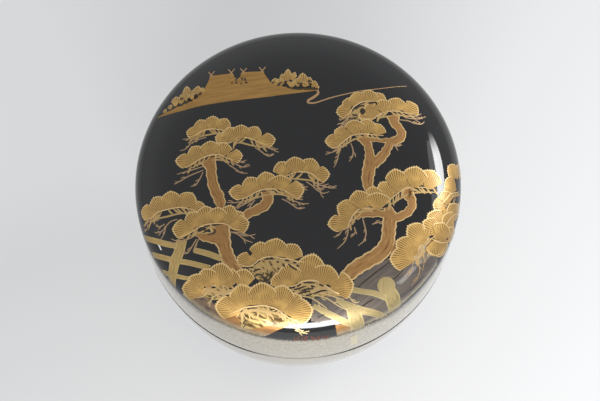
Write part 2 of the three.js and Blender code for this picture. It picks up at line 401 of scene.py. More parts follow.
# Single twigs that reach out from the pads
TWIGS_LEFT = [
    [(-21.4, 8.6), (-23.5, 8), (-26, 8)],
    [(-20.6, 8.1), (-22.5, 7.6), (-24, 6.9), (-25.2, 5.6), (-26.6, 5.2)],
    [(-9.6, 5.2), (-8.4, 4.4), (-7.2, 3.4), (-6.2, 3.1), (-5.3, 3.6)],
    [(-8.6, 5.6), (-7.2, 5.2), (-5.6, 5.3)], [(-7.6, 5.6), (-6.2, 4.9), (-5.4, 4.6), (-4.4, 4.8)],
    [(-20.8, 1.2), (-24, 0.3), (-27.2, -0.4)], [(-21.1, 0.2), (-24.6, -1.1), (-26.6, -2.2), (-27.6, -2.1)],
    [(-21.2, -0.3), (-21.9, -1.8), (-22.8, -3.2), (-24, -3.5)],
    [(-15.4, 1.2), (-14, 0.2), (-12.8, -0.7), (-11.2, -0.9)],
    [(-14.8, 1.9), (-13.4, 1.1), (-12.2, 0.6), (-10.7, 0.9)], [(-13.6, 1.6), (-12.6, 1.9), (-11.8, 1.6)],
    [(-9.4, -6.4), (-12, -7.4), (-14, -7.7), (-15.8, -7.6)],
    [(-9.6, -6.9), (-11.5, -7.9), (-13.2, -8.7), (-14.6, -8.6)], [(-9.6, -7.2), (-10.4, -8.3), (-11, -9.4)],
    [(-3.6, -7), (-2.2, -7.7), (-1, -8.6), (0.2, -9.3), (1.5, -9)],
    [(-2.6, -6.9), (-0.6, -7.6), (0.8, -8.1), (2.4, -8.1)], [(-1.6, -6.7), (-0.2, -7), (1.1, -7.2)],
    [(1.8, -3), (3, -3.8), (4.4, -5.1), (5.6, -5.7), (6.9, -5.3)],
    [(3, -2.9), (4.2, -3.5), (5.4, -3.9), (6.8, -3.5)], [(3.6, -3.7), (4.8, -4.5), (5.8, -4.8)],
    [(5.4, -3.8), (7, -4.4), (8.5, -4.4)], [(-0.8, -2.8), (0.4, -3.5), (1.2, -4.2), (2.2, -4.2)],
    [(-32.6, -9.9), (-34.4, -10.3), (-35.4, -11.2), (-36.5, -11.2)],
    [(-31.5, -10.6), (-33.6, -10.9), (-35.4, -12.4), (-36.4, -12.6)],
    [(-27, -10.9), (-28.6, -11.3), (-29.8, -12.4), (-30.2, -13.8), (-31.3, -15.2)],
    [(-29.9, -12.6), (-31.2, -13.4), (-32, -13.1)], [(-30, -11.7), (-31.4, -12.2), (-32.4, -11.8)],
    [(-22.4, -14.6), (-24.4, -15.5), (-26.8, -15.9), (-28.6, -15.2)],
    [(-22.6, -15.7), (-23.6, -17.2), (-24.6, -18.6), (-25.8, -18.8)],
    [(-22, -15.6), (-22.8, -17), (-23.4, -18.4)],
    [(-15.2, -14.3), (-13.4, -14.9), (-11.8, -16.2), (-10, -16.9)],
    [(-14.6, -14.4), (-12.4, -14.7), (-10.8, -15.3), (-9.4, -15)],
]
TWIGS_RIGHT = [
    [(12.4, 13.3), (11, 12.1), (10, 11.2), (8.8, 10.7)], [(11.6, 12.9), (10.4, 12.2), (9.2, 12)],
    [(12, 12.2), (10.8, 11), (10, 10.6)], [(10.8, 6.3), (9, 4.7), (7.6, 4), (6.1, 3.4)],
    [(9.6, 4.9), (9, 3.4), (8.7, 2), (8, 0.4)], [(11.8, 6.2), (12.3, 4.7), (12.2, 3.2), (11.4, 1.8)],
    [(11, 5.6), (9.4, 5.3), (7.6, 4.8)], [(23, 13.7), (25, 13.5), (26.8, 13.9), (28.3, 14.7)],
    [(24.4, 13.1), (26.6, 13.1), (28, 13.4), (29.3, 14.1)],
    [(22.6, 12.5), (25, 12.4), (26.6, 11.9), (28.2, 12), (28.9, 12.7)],
    [(20.9, 6.6), (22.2, 5.9), (23.4, 6.2)], [(16.4, -12.7), (17.4, -12.3), (18.6, -12)],
    [(14.2, -11), (14.6, -12.7), (15, -14.8), (14.4, -16.6), (13.2, -17.6)],
    [(12.6, -12.2), (11.2, -13.4), (10.9, -15), (10.2, -16.8), (8.6, -18.4)],
    [(11.4, -13.2), (9.9, -13.9), (9, -15.2), (7.8, -15.8)], [(12.4, -13.4), (12.6, -14.6), (11.6, -15.8)],
    [(26.2, -18.8), (26.8, -20.6), (27.6, -22.2), (27.2, -24.4), (25.8, -26.2)],
    [(26.8, -17.6), (28.2, -18.6), (28.6, -20.4), (28.4, -22.6)], [(25.8, -21.8), (25.2, -23), (23.8, -24)],
    [(34.2, -8), (33.8, -6.4), (35, -4.6)], [(35.2, -7), (36.4, -5.4), (36.8, -3.6)],
]
TWIGS_FRONT = [
    [(3.4, -27.4), (5.6, -27.2), (8.4, -28.4), (11, -28.8), (12.4, -30.2), (13.6, -30)],
    [(1, -28.4), (4, -28.7), (6.4, -29.4), (8.6, -30.8), (10.6, -31.8)],
    [(2.6, -28), (5.4, -28.2), (8, -29), (10.2, -29.6)],
    [(0.4, -27.6), (2.4, -27.2), (4.8, -27.6), (7.4, -28.2)],
    [(0.2, -28.8), (2.6, -29.2), (4.4, -30.2), (6.4, -31.6)], [(6.4, -27), (8, -27.9), (9.8, -28.2)],
    [(-1, -36), (0, -36.5), (1.2, -36.7)], [(-0.8, -36.6), (0.8, -37.3), (2.2, -37.6)],
    [(-1.4, -34.9), (-0.2, -35.2), (1, -35)],
    [(-18.6, -27.2), (-20.2, -27.4), (-21.8, -28.6), (-23.6, -28.8)],
    [(-17, -28), (-18.8, -28.6), (-20, -29.8), (-20.4, -31)], [(-16.2, -27.2), (-16, -28.2), (-17.2, -28.9)],
]

# Dull gold between the twigs of the nearest pads, as a lower and an upper line
TWIG_BEDS = [
    ([(-11.6, -22.8), (-9.6, -24.4), (-8.2, -26), (-5.6, -25.6), (-3.6, -24.6), (-1, -23.4), (0.6, -22.8)],
     [(-10.8, -22.2), (-9.4, -21.5), (-8, -20.6), (-5.5, -20.2), (-3.6, -20.6), (-1, -21.1), (1.2, -21.4)]),
    ([(-1, -27.6), (-0.4, -29), (2.2, -29.2), (4.6, -28.9), (6.6, -28.9), (9.4, -28.9)],
     [(-1, -27.3), (0.2, -26.1), (2.5, -25.5), (4.2, -25.7), (6.2, -26.8), (9, -28.2)]),
    ([(-21.6, -28.6), (-19.8, -29.4), (-17.6, -29.4), (-15.4, -29.2), (-14.4, -28.8)],
     [(-21.4, -27.4), (-20.2, -26.5), (-18, -26.3), (-15.6, -26.5), (-14.4, -26.8)]),
    ([(12.2, 12), (13.4, 12), (15.2, 12.4), (17.4, 14.4), (18, 15.4)],
     [(11.8, 13.6), (12.8, 15.2), (14.4, 16.2), (16.4, 16.6), (17.8, 16.4)]),
]
SHINING_BED = (
    [(-13.4, -36.4), (-11.6, -36.6), (-9.4, -36.2), (-6.6, -35.4), (-3.8, -35), (-1, -34.9), (0.8, -34.6)],
    [(-13.4, -31.9), (-11.6, -31.2), (-8.6, -31), (-6.2, -31.2), (-4.4, -32), (-2.6, -33.2), (0.4, -34.4)],
)
PALE_BED = (
    [(24.6, -19), (25.6, -20.8), (27, -21.4), (28.8, -20.4), (30.4, -18.8)],
    [(25, -16.4), (26, -15.2), (27.4, -14.6), (28.8, -14.6), (30, -15.2)],
)

# Slivers of black lacquer left open in the gold, and round ones with their width and height
GAPS = [
    [(-29.6, 16), (-28.9, 16.5)], [(-27.6, 17), (-26.8, 17.3)], [(-25.2, 18), (-24.5, 18.4)],
    [(-23.6, 18.8), (-22.9, 19.2)], [(-4.4, 20.8), (-3.6, 21.3)], [(-2, 21.7), (-1.2, 21.6)],
    [(0.4, 20.8), (1.2, 20.9)], [(2.4, 20.8), (3.2, 20.7)], [(-9.7, -21.9), (-9, -21.3), (-8.3, -21)],
    [(-11.5, -22.6), (-10.5, -22.4), (-9.8, -22.5)], [(-9.9, -23.5), (-9.2, -23), (-8.2, -22.9)],
    [(-9.6, -24.4), (-8.8, -24), (-8, -24.2), (-7.6, -23.6)],
    [(-8.6, -25.2), (-7.6, -25.6), (-6.6, -25.2), (-5.8, -24.6)],
    [(-8.2, -24.6), (-7.2, -24.8), (-6.6, -24.2)], [(-7.5, -20.75), (-6.4, -20.6), (-5.2, -20.65)],
    [(-4.8, -21.3), (-4.2, -21.4)], [(-3.4, -21.7), (-3, -22.5)],
    [(-2.2, -21.8), (-1.4, -22.5), (-0.3, -23.2)], [(-0.3, -22), (0.2, -22.5)], [(-3, -21), (-1.9, -21.1)],
    [(-1.2, -21.5), (-0.4, -21.6)], [(-6, -23.6), (-5.7, -24)], [(-0.9, -27.5), (0.2, -27.2), (1.6, -26.7)],
    [(-0.3, -26.8), (0.6, -26.2)], [(1.2, -25.95), (2.4, -25.9), (3.7, -26)], [(2.8, -26.6), (3.7, -26.9)],
    [(4.6, -26.3), (5.6, -26.7)], [(0, -28.4), (1.2, -28), (2.6, -27.8)],
    [(0.6, -27.7), (2.2, -27.3), (3.4, -27.3)], [(3.6, -28.3), (5.2, -27.7), (6.4, -27.7)],
    [(1.6, -28.8), (3, -28.5)], [(-13, -32.3), (-12.4, -31.8)], [(-11.5, -31.5), (-10.2, -31.4), (-9, -31.4)],
    [(-6.4, -31.9), (-5.2, -31.7)], [(-5.4, -32.3), (-4.6, -32)], [(-4, -32.4), (-2.9, -32.9)],
    [(-2.7, -33.1), (-1.8, -33.5)],
    [(-12.3, -33.3), (-12.1, -34.2), (-12.5, -34.9), (-12.2, -35.4), (-12.9, -36.3)],
    [(-15.4, -26.9), (-14.7, -27)], [(-19.4, -26.6), (-18.4, -26.6)], [(-16.2, -28.6), (-15.4, -28.4)],
    [(12.1, 13.8), (12.9, 15), (14, 16), (15.2, 16.4)], [(16, 16.1), (17, 16.4), (17.8, 16.3), (17.7, 15.8)],
    [(13, 14.6), (13.9, 15.4), (15, 15.6)], [(12.2, 13.3), (13.4, 12.9)], [(12.2, 12.2), (13.4, 12.5)],
    [(12, 14.6), (12.4, 15.4)], [(-22, -13.4), (-20.8, -13.7), (-19.8, -14)],
    [(-18.5, -13.6), (-18.5, -14.4), (-20, -14.8)], [(-21, -13), (-19.6, -12.8)],
    [(-29.4, 16.2), (-28.2, 16.5)], [(-27.6, 16.8), (-26.2, 17)], [(-26, 17.3), (-25, 17.4)],
    [(-24.8, 17.6), (-24, 17.8)], [(-23.6, 18.2), (-22.9, 18.4)], [(-27, 18.8), (-26.2, 18.5)],
    [(-22.4, 19.1), (-22, 19.7)], [(-15.1, 21.5), (-14.8, 21.7)], [(-14.2, 21.6), (-13.7, 21.5)],
    [(-13, 21.2), (-12.7, 21.4)], [(-12, 21.5), (-11.4, 21.5)], [(-12.2, 22.8), (-11.8, 22)],
    [(-12.8, 22.9), (-12.6, 22.2)], [(-14.3, 22.4), (-13.8, 22.3)], [(-2.5, 20.1), (-1, 19.7), (1, 19.4)],
    [(1.3, 19.6), (3, 19.6), (4.6, 19.6)], [(-3.1, 21.4), (-2.3, 21.3)], [(-4.4, 20.7), (-4, 20.6)],
    [(-3.2, 20.7), (-2.8, 20.6)], [(-0.2, 21), (0.3, 21)], [(-5.8, 21.3), (-5.3, 21.3)],
    [(2.3, 21.6), (3.2, 21.5)], [(-1.7, 21.5), (-1.3, 21.5)],
]
ROUND_GAPS = [(14.6, 14.1, 1.2, 1.5)]

# Rails and posts, as trunks; the round cap of a post, with its width and height; and the foot of a post
# on the wall
RAILS_LEFT = [
    ([(-44, -13.9), (-38, -14), (-34, -14.9), (-30, -16.2), (-27, -17)], [1.2, 1.3, 1.3, 1.3, 1.3]),
    ([(-23.2, -18.1), (-20, -19.1), (-17, -20.3)], [1.2, 1.3, 1.3]),
    ([(-43, -18.2), (-36, -18.2), (-32, -19), (-28, -20.1), (-24, -21), (-19.6, -22.3)],
     [1.3, 1.3, 1.3, 1.2, 1.2, 1.2]),
    ([(-44, -23.4), (-38, -22.9), (-33, -22.7), (-29.4, -23.4), (-25.6, -24.2), (-22, -25)],
     [1.3, 1.4, 1.4, 1.2, 0.9, 1]),
    ([(-26, -15.7), (-26.7, -18.2), (-27.9, -20.4), (-28.7, -22.4), (-30.4, -26), (-34, -32)],
     [2.4, 2.5, 2.6, 2.5, 2.4, 2]),
]
RAILS_RIGHT = [
    ([(11, -27.2), (14, -27.7), (17, -28.1), (20.4, -29.2)], [1.2, 1.2, 1.3, 1.4]),
    ([(3.3, -31), (6, -32.4), (9, -33.9), (12, -35.4)], [1, 1.4, 1.5, 1.5]),
    ([(8.4, -29.7), (11, -30.9), (14, -31.9), (17, -32.6), (20, -33.8), (24, -36.2), (31, -41)],
     [0.8, 1.7, 1.7, 1.7, 1.6, 1.6, 1.6]),
    ([(20.2, -27), (21.4, -29), (22.4, -31), (24.4, -33.8), (28, -38.5), (32, -43.6)],
     [2.8, 3.7, 3.5, 3, 2.6, 2.4]),
    ([(12, -31.2), (12.9, -33.6), (13.8, -36), (15, -39.4), (17, -44), (19.5, -49)],
     [2.9, 3.3, 3.5, 2.8, 2.3, 2.2]),
]
POST_CAPS = [(19.7, -26.3, 4.2, 4)]
POST_ON_WALL = ([(14.6, -41.2), (15.4, -43), (16.9, -46.6), (17.8, -48.9)], [2.2, 2.2, 2.1, 2.1])

# The deck, as a lower and an upper line, and the joints between its planks with their widths
DECK = (
    [(2.8, -34.4), (5.5, -35), (8.5, -35.3), (12, -35.8), (15.6, -35.6), (19, -34.4), (22, -33.2),
     (24.6, -31), (26.8, -28.8), (29, -26.6), (31, -24.2), (33, -21.2)],
    [(3, -29.5), (6, -28.8), (10, -27.4), (12.2, -25.6), (14, -23.4), (16.2, -22), (18.6, -21), (20.4, -20),
     (22.5, -20.2), (26, -19.2), (29, -18.2), (32, -17.4)],
)
PLANK_JOINTS = [
    ([(13.2, -26.8), (16.6, -23.9), (20.8, -20.6)], 0.3), ([(20.8, -25.2), (22.2, -24), (23.6, -22.6)], 0.28),
    ([(14.4, -31), (15.6, -30.1), (17, -29.3)], 0.28), ([(5, -29.4), (6.6, -28.6)], 0.2),
    ([(20.6, -23.9), (22, -22.7)], 0.14), ([(21.2, -24), (22.6, -22.8)], 0.14),
    ([(14.8, -26.6), (18.8, -23.3)], 0.1), ([(26, -27.4), (29.2, -23.6)], 0.25),
    ([(4.4, -33.6), (6, -32.8)], 0.2),
]

# Ground low on the front, as a lower and an upper line
GROUND_RED = [
    ([(-21, -35.6), (-18, -37.4), (-15, -39), (-12, -40), (-9.6, -39.6), (-7.4, -38.4), (-5.2, -36.9),
      (-2.6, -35.6)],
     [(-19, -31.8), (-17, -32), (-15, -32.4), (-12.6, -32.4), (-10, -33), (-7, -33.4), (-4.4, -34),
      (-2.2, -35.2)]),
    ([(9.2, -38.8), (10.4, -39), (11.8, -38.4), (13.2, -37.2)],
     [(8.4, -35.5), (9.8, -35.3), (11.6, -35.2), (13.2, -36)]),
]
GROUND_BROWN = (
    [(-28.4, -28.6), (-26.4, -31.4), (-23.4, -34), (-20.6, -35.8), (-18.4, -36.6)],
    [(-26, -27.4), (-23.6, -28.2), (-21.4, -28.2), (-19.6, -29.6), (-18.2, -31.4)],
)

# Tips of grass below it: from and to across, how many, and where they begin and end
GRASS_TIPS = (-0.8, 7, 16, -38.5, -40.6)
GRASS_WIDTH = 0.24

# The far shore: a hill with two roofs, their crossed finials, the shore line and small pines
HILL = (
    [(-32.8, 14.9), (-29, 15.1), (-26, 15.4), (-23.4, 15.9), (-21.2, 16.2), (-20.3, 16.3), (-20, 16.35),
     (-14.8, 16.9), (-14.4, 16.95), (-13.7, 17), (-13, 17.05), (-12.7, 17.1), (-8.2, 17.5), (-7.4, 17.6),
     (-6.2, 17.7), (-4.4, 18), (-2, 18.3), (1.6, 18.8), (4.3, 19.2)],
    [(-32.7, 15.2), (-29.4, 16), (-26, 17.2), (-23, 18.4), (-21.4, 20.4), (-20.5, 22.6), (-20.1, 24.1),
     (-14.8, 24.2), (-14.4, 23), (-13.7, 22.5), (-13.1, 23.2), (-12.9, 24.3), (-8, 24.4), (-7.3, 23.2),
     (-6.2, 21.4), (-4.4, 20.4), (-2, 20), (1.6, 19.5), (4.3, 19.4)],
)
FINIALS = [(-19.9, 24.3), (-15.2, 24.4), (-12.4, 24.4), (-8.1, 24.5)]
SHORE = (
    [(4.3, 19.6), (4.6, 18.5), (3.6, 17.5), (2.4, 16.7), (2.4, 16.1), (4, 16.1), (7.2, 17.3), (10.5, 18.3),
     (14, 19.3), (18.5, 20.2), (25.2, 21.9)],
    [0.5, 0.55, 0.6, 0.5, 0.4, 0.3, 0.26, 0.22, 0.18, 0.1],
)
FAR_TUFTS_LEFT = [
    (-30.4, 15.8, -31.2, 16.7, 1.2), (-29.3, 16.3, -29.7, 17.6, 1.3), (-27, 17.1, -26.6, 18.5, 1.3),
    (-28.1, 16.9, -28.3, 19.6, 2.2), (-26, 18, -27, 19.9, 1.3), (-24.6, 18.4, -23.8, 20.7, 1.6),
    (-25.4, 17.8, -25.7, 21.9, 1.9), (-22.6, 19.2, -21.7, 20.9, 1.4), (-23.2, 18.8, -22.9, 21.5, 1.8),
    (-24, 18, -24.5, 19.5, 1.6),
]
FAR_TUFTS_RIGHT = [
    (-5, 20.4, -5.2, 22.4, 1.6), (-3.1, 21, -3.6, 23.5, 1.3), (-1.6, 21.4, -0.6, 23.9, 1.3),
    (-2.4, 21, -2.2, 24.7, 1.6), (-4, 20.2, -3.9, 22.3, 1.8), (0, 20.2, -0.1, 22.3, 1.9),
    (2, 20.4, 2.8, 22.6, 1.6), (1.2, 20.4, 1.1, 23.6, 2), (3.3, 20, 3.9, 21.6, 1.7),
    (-1.4, 20, -1.3, 21.6, 2.2), (1.4, 20, 1.8, 21.2, 2), (3.9, 19.9, 4.8, 20.2, 1),
]


def flank_radius(level):
    fall = (WIDEST_LEVEL - level) / WIDEST_LEVEL
    return WIDEST_RADIUS - (WIDEST_RADIUS - FOOT_RADIUS) * max(fall, 0) ** FLANK_POWER


JOINT_RADIUS = flank_radius(JOINT_LEVEL)
LID_INNER_RADIUS = JOINT_RADIUS - LID_WALL
LIP_OUTER_RADIUS = LID_INNER_RADIUS - LIP_CLEARANCE
LIP_INNER_RADIUS = LIP_OUTER_RADIUS - LIP_WALL


def cavity_radius(level):
    return min(LIP_INNER_RADIUS, flank_radius(level) - BODY_WALL)


def blend(a, b, t):
    return a + (b - a) * t


def flank(radius_at, start, end, steps):
    """Profile points (radius, level) between two levels."""
    levels = [blend(start, end, i / steps) for i in range(steps + 1)]
    return [(radius_at(level), level) for level in levels]


def crown(radius, edge_level, top_level, steps):
    """Half the crown, from its upright edge to the axis."""
    rise = top_level - edge_level
    shoulder = edge_level + SHOULDER_FULLNESS * rise
    points = []
    for i in range(steps + 1):
        t = i / steps
        a, b, c, d = (1 - t) ** 3, 3 * (1 - t) ** 2 * t, 3 * (1 - t) * t * t, t**3
        level = a * edge_level + b * shoulder + (c + d) * top_level
        points.append((radius * (a + b + c * CROWN_FULLNESS), level))
    return points


def corner(start, turn, end, steps=5):
    """A rounded corner between two profile points."""
    points = []
    for i in range(steps + 1):
        t = i / steps
        weights = (1 - t) ** 2, 2 * t * (1 - t), t * t
        points.append(tuple(sum(w * p[k] for w, p in zip(weights, (start, turn, end))) for k in (0, 1)))
    return points


def edge(radius, level, radius_side, level_side, level_first, ease=EDGE_ROUND):
    """A right-angled edge of the profile, eased."""
    on_level = (radius + radius_side * ease, level)
    on_radius = (radius, level + level_side * ease)
    ends = (on_level, on_radius) if level_first else (on_radius, on_level)
    return corner(ends[0], (radius, level), ends[1])


# Modelling helpers


def deselect_all():
    bpy.ops.object.select_all(action="DESELECT")


def take(piece):
    """Selects one piece alone and makes it the active one."""
    deselect_all()
    piece.select_set(True)
    bpy.context.view_layer.objects.active = piece
    return piece


def in_edit_mode(piece, *steps):
    """Runs edit-mode steps on one piece."""
    take(piece)
    bpy.ops.object.mode_set(mode="EDIT")
    for step in steps:
        step()
    bpy.ops.object.mode_set(mode="OBJECT")
    return piece


def renamed(piece, name):
    piece.name = name
    piece.data.name = name
    return piece


def joined(name, parts):
    """Several flat parts as one piece."""
    deselect_all()
    for part in parts:
        part.select_set(True)
    bpy.context.view_layer.objects.active = parts[0]
    bpy.ops.object.join()
    return renamed(bpy.context.view_layer.objects.active, name)


def turned(name, profile):
    """A closed solid turned about +Z: a vertex drawn out along the profile, then spun."""
    points = [profile[0]]
    for point in profile[1:]:
        if math.dist(point, points[-1]) > 1e-6:
            points.append(point)
    deselect_all()
    bpy.ops.mesh.primitive_plane_add(size=1, location=(0, 0, 0))
    piece = renamed(bpy.context.object, name)

    def draw_out():
        bpy.ops.mesh.select_all(action="SELECT")
        bpy.ops.mesh.merge(type="CENTER")
        bpy.ops.transform.translate(value=(points[0][0] * MM, 0, points[0][1] * MM))
        for here, there in zip(points, points[1:]):
            step = ((there[0] - here[0]) * MM, 0, (there[1] - here[1]) * MM)
            bpy.ops.mesh.extrude_region_move(TRANSFORM_OT_translate={"value": step})

    def spin():
        bpy.ops.mesh.select_all(action="SELECT")
        bpy.ops.mesh.spin(steps=TURNING_STEPS, angle=math.tau, center=(0, 0, 0), axis=(0, 0, 1))
        bpy.ops.mesh.select_all(action="SELECT")
        bpy.ops.mesh.remove_doubles(threshold=1e-6)
        bpy.ops.mesh.normals_make_consistent(inside=False)

    in_edit_mode(piece, draw_out, spin)
    bpy.ops.object.shade_smooth_by_angle(angle=SHARP_TURNED)
    return piece


def turned_lid():
    wall = flank(flank_radius, JOINT_LEVEL + RIM_ROUND, WIDEST_LEVEL, 10)
    ceiling = crown(LID_INNER_RADIUS, WIDEST_LEVEL, CROWN_LEVEL - LID_TOP_THICKNESS, 20)
    return turned(
        "lid_lacquer",
        ceiling[::-1]
        + edge(LID_INNER_RADIUS, JOINT_LEVEL, 1, 1, False)
        + edge(JOINT_RADIUS, JOINT_LEVEL, -1, 1, True, RIM_ROUND)
        + wall
        + crown(WIDEST_RADIUS, WIDEST_LEVEL, CROWN_LEVEL, 48),
    )


def turned_body():
    ring_outer = FOOT_RADIUS - FOOT_ROUND
    ring_inner = ring_outer - FOOT_RING_WIDTH
    corner_top = FLOOR_LEVEL + FLOOR_CORNER
    floor_radius = cavity_radius(FLOOR_LEVEL)
    foot_top = (flank_radius(FOOT_ROUND), FOOT_ROUND)
    return turned(
        "body_lacquer",
        [(0, FOOT_RECESS), (ring_inner, FOOT_RECESS), (ring_inner, 0)]
        + corner((ring_outer, 0), (FOOT_RADIUS, 0), foot_top, 6)
        + flank(flank_radius, FOOT_ROUND, JOINT_LEVEL - LEDGE_ROUND, 36)
        + edge(JOINT_RADIUS, JOINT_LEVEL, -1, -1, False, LEDGE_ROUND)
        + [(LIP_OUTER_RADIUS, JOINT_LEVEL)]
        + edge(LIP_OUTER_RADIUS, LIP_TOP, -1, -1, False)
        + edge(LIP_INNER_RADIUS, LIP_TOP, 1, -1, True)
        + flank(cavity_radius, JOINT_LEVEL, corner_top, 14)
        + corner(
            (cavity_radius(corner_top), corner_top),
            (floor_radius, FLOOR_LEVEL),
            (floor_radius - FLOOR_CORNER, FLOOR_LEVEL),
            10,
        )
        + [(0, FLOOR_LEVEL)],
    )


# The skin that the picture is laid on: the outside, measured along its curve from the crown's middle


def skin_table():
    """(arc, radius, level, outward, upward) along the outside, from the middle of the crown."""
    points = crown(WIDEST_RADIUS, WIDEST_LEVEL, CROWN_LEVEL, 400)[::-1]
    points += flank(flank_radius, WIDEST_LEVEL, 0, 300)[1:]
    rows = []
    arc = 0
    for i, (radius, level) in enumerate(points):
        before, after = points[max(i - 1, 0)], points[min(i + 1, len(points) - 1)]
        along = Vector((after[0] - before[0], after[1] - before[1])).normalized()
        if i:
            arc += math.dist(points[i - 1], points[i])
        rows.append((arc, radius, level, -along.y, along.x))
    return rows


SKIN = skin_table()
SKIN_ARCS = [row[0] for row in SKIN]


def skin_at(arc):
    """(radius, level, outward, upward) of the outside at a distance from the crown's middle."""
    i = min(max(bisect.bisect(SKIN_ARCS, arc), 1), len(SKIN) - 1)
    low, high = SKIN[i - 1], SKIN[i]
    share = (arc - low[0]) / (high[0] - low[0])
    return tuple(blend(a, b, share) for a, b in zip(low[1:], high[1:]))


def lay_on_skin(piece):
    """Bends a flat picture over the caddy: x to the right, y to the back, z as height over the lacquer."""
    for vertex in piece.data.vertices:
        across, deep, height = vertex.co
        arc = math.hypot(across, deep)
        radius, level, outward, upward = skin_at(arc)
        radius += height * outward
        turn = math.atan2(deep, across)
        vertex.co = Vector((radius * math.cos(turn), radius * math.sin(turn), level + height * upward)) * MM
    piece.data.update()
    return piece


# Flat parts of the picture, drawn in millimetres from the crown's middle


def sheet_grid(columns, rows):
    """A flat grid, one unit square, that a function then shapes."""
    deselect_all()
    bpy.ops.mesh.primitive_grid_add(x_subdivisions=columns, y_subdivisions=rows, size=1, location=(0, 0, 0))
    return bpy.context.object


def shape_grid(piece, place):
    """Moves each vertex of a grid: place takes its share across and its share along."""
    for vertex in piece.data.vertices:
        vertex.co = place(round(vertex.co.x + 0.5, 5), round(vertex.co.y + 0.5, 5))


def scale_uv(piece, across, along):
    for loop in piece.data.uv_layers.active.data:
        loop.uv = (loop.uv.x * across, loop.uv.y * along)


def close_below(piece):
    """Gives a flat sheet its edge and its underside, sunk in the lacquer."""

    def close():
        bpy.ops.mesh.select_mode(type="VERT")
        bpy.ops.mesh.select_all(action="SELECT")
        bpy.ops.mesh.remove_doubles(threshold=1e-4)
        bpy.ops.mesh.select_all(action="DESELECT")
        bpy.ops.mesh.select_non_manifold()
        bpy.ops.mesh.extrude_edges_move()
        bpy.ops.transform.resize(value=(1, 1, 0), center_override=(0, 0, -SUNK))
        bpy.ops.mesh.edge_face_add()
        bpy.ops.mesh.select_all(action="SELECT")
        bpy.ops.mesh.normals_make_consistent(inside=False)

    return in_edit_mode(piece, close)


def tuft_point(side, reach, on_needle):
    """A place on the tuft: side from -1 to 1, and reach from 0 at the root to 1 at the rim."""
    tip = NEEDLE_TIP * on_needle if reach == 1 else 0
    rim_x = 0.5 * math.sin(side * TUFT_SPREAD) / math.sin(TUFT_SPREAD)
    round_top = (1 - math.cos(side * TUFT_SPREAD)) / (1 - math.cos(TUFT_SPREAD))
    rim_y = 1 - RIM_FALL * blend(round_top, abs(side), 0.5) + tip
    lift = LINE_RELIEF if RIM_START < reach < 1 else 0
    ridge = LINE_RELIEF * on_needle if 0 < reach < RIDGES_END else 0
    dome = LINE_RELIEF * math.sin(math.pi * min(reach, RIDGES_END))
    return (blend(TUFT_ROOT * side, rim_x, reach**TUFT_OPENING), rim_y * reach, dome + ridge + lift)


def tuft_blank(needles):
    """One pine tuft: ridged needles inside a raised rim, rooted at the origin, one unit long and wide."""
    steps = len(TUFT_ROWS) - 1
    columns = 2 * needles
    piece = sheet_grid(columns, steps)
    piece.data.attributes.new("rim", "FLOAT", "POINT")
    rim = []

    def place(across, along):
        reach = TUFT_ROWS[round(along * steps)]
        column = round(across * columns)
        at_side = 0.5 if column in (0, columns) and reach > 0 else 0.0
        rim.append(1.0 if reach > RIM_START else at_side)
        return tuft_point(2 * across - 1, reach, column % 2)

    shape_grid(piece, place)
    for point, value in zip(piece.data.attributes["rim"].data, rim):
        point.value = value
    scale_uv(piece, needles, 1)
    return close_below(piece)


def tuft(blanks, root_x, root_y, tip_x, tip_y, width, height, fullness=TUFT_FULLNESS):
    """A tuft from its root to its tip, with needles of about the same pitch as on the others."""
    needles = min(blanks, key=lambda count: abs(count - width / NEEDLE_PITCH))
    piece = blanks[needles].copy()
    piece.data = piece.data.copy()
    bpy.context.collection.objects.link(piece)
    root = Vector((root_x, root_y))
    reach = Vector((tip_x, tip_y)) - root
    side = Vector((reach.y, -reach.x)).normalized() * width * fullness
    for vertex in piece.data.vertices:
        spot = root + reach * vertex.co.y + side * vertex.co.x
        rise = vertex.co.z
        vertex.co = (spot.x, spot.y, rise + height if rise > -SUNK / 2 else rise)
    return piece


def smooth_path(points, per_span=6):
    """A smooth line through given points."""
    padded = [2 * Vector(points[0]) - Vector(points[1]), *map(Vector, points)]
    padded.append(2 * padded[-1] - padded[-2])
    line = []
    for a, b, c, d in zip(padded, padded[1:], padded[2:], padded[3:]):
        for k in range(per_span):
            t = k / per_span
            bend = (2 * a - 5 * b + 4 * c - d) * t**2 + (3 * b - a - 3 * c + d) * t**3
            line.append(0.5 * (2 * b + (c - a) * t + bend))
    line.append(padded[-2])
    return line


def path_length(line):
    return sum((b - a).length for a, b in zip(line, line[1:]))


def on_path(line, share):
    """A point of a smooth line, and the direction to its right."""
    spot = min(max(share, 0), 1) * (len(line) - 1)
    k = min(int(spot), len(line) - 2)
    ahead = (line[k + 1] - line[k]).normalized()
    return line[k].lerp(line[k + 1], spot - k), Vector((ahead.y, -ahead.x))


def ribbon(points, widths, height, swell=0.0, across=4, per_span=6, knobs=0.0):
    """A flat ribbon along a smooth path, its width blended between the given widths.

    Knobs make its two edges wavy, as on bark.
    """
    line = smooth_path([Vector(p).to_2d() for p in points], per_span)
    steps = len(line) - 1
    length = path_length(line)
    piece = sheet_grid(across, steps)
    finer_turns, finer_height = FINER_KNOBS

    def place(side, along):
        i = round(along * steps)
        ahead = (line[min(i + 1, steps)] - line[max(i - 1, 0)]).normalized()
        spot = along * (len(widths) - 1)
        k = min(int(spot), len(widths) - 2)
        offset = (side - 0.5) * blend(widths[k], widths[k + 1], spot - k)
        turn = along * length * KNOB_TURNS + (2 if side > 0.5 else 0)
        offset += (2 * side - 1) * knobs * (math.sin(turn) + finer_height * math.sin(finer_turns * turn))
        x = line[i].x + ahead.y * offset
        y = line[i].y - ahead.x * offset
        return (x, y, height + swell * (1 - (2 * side - 1) ** 2))

    shape_grid(piece, place)
    scale_uv(piece, 1, length)
    return piece


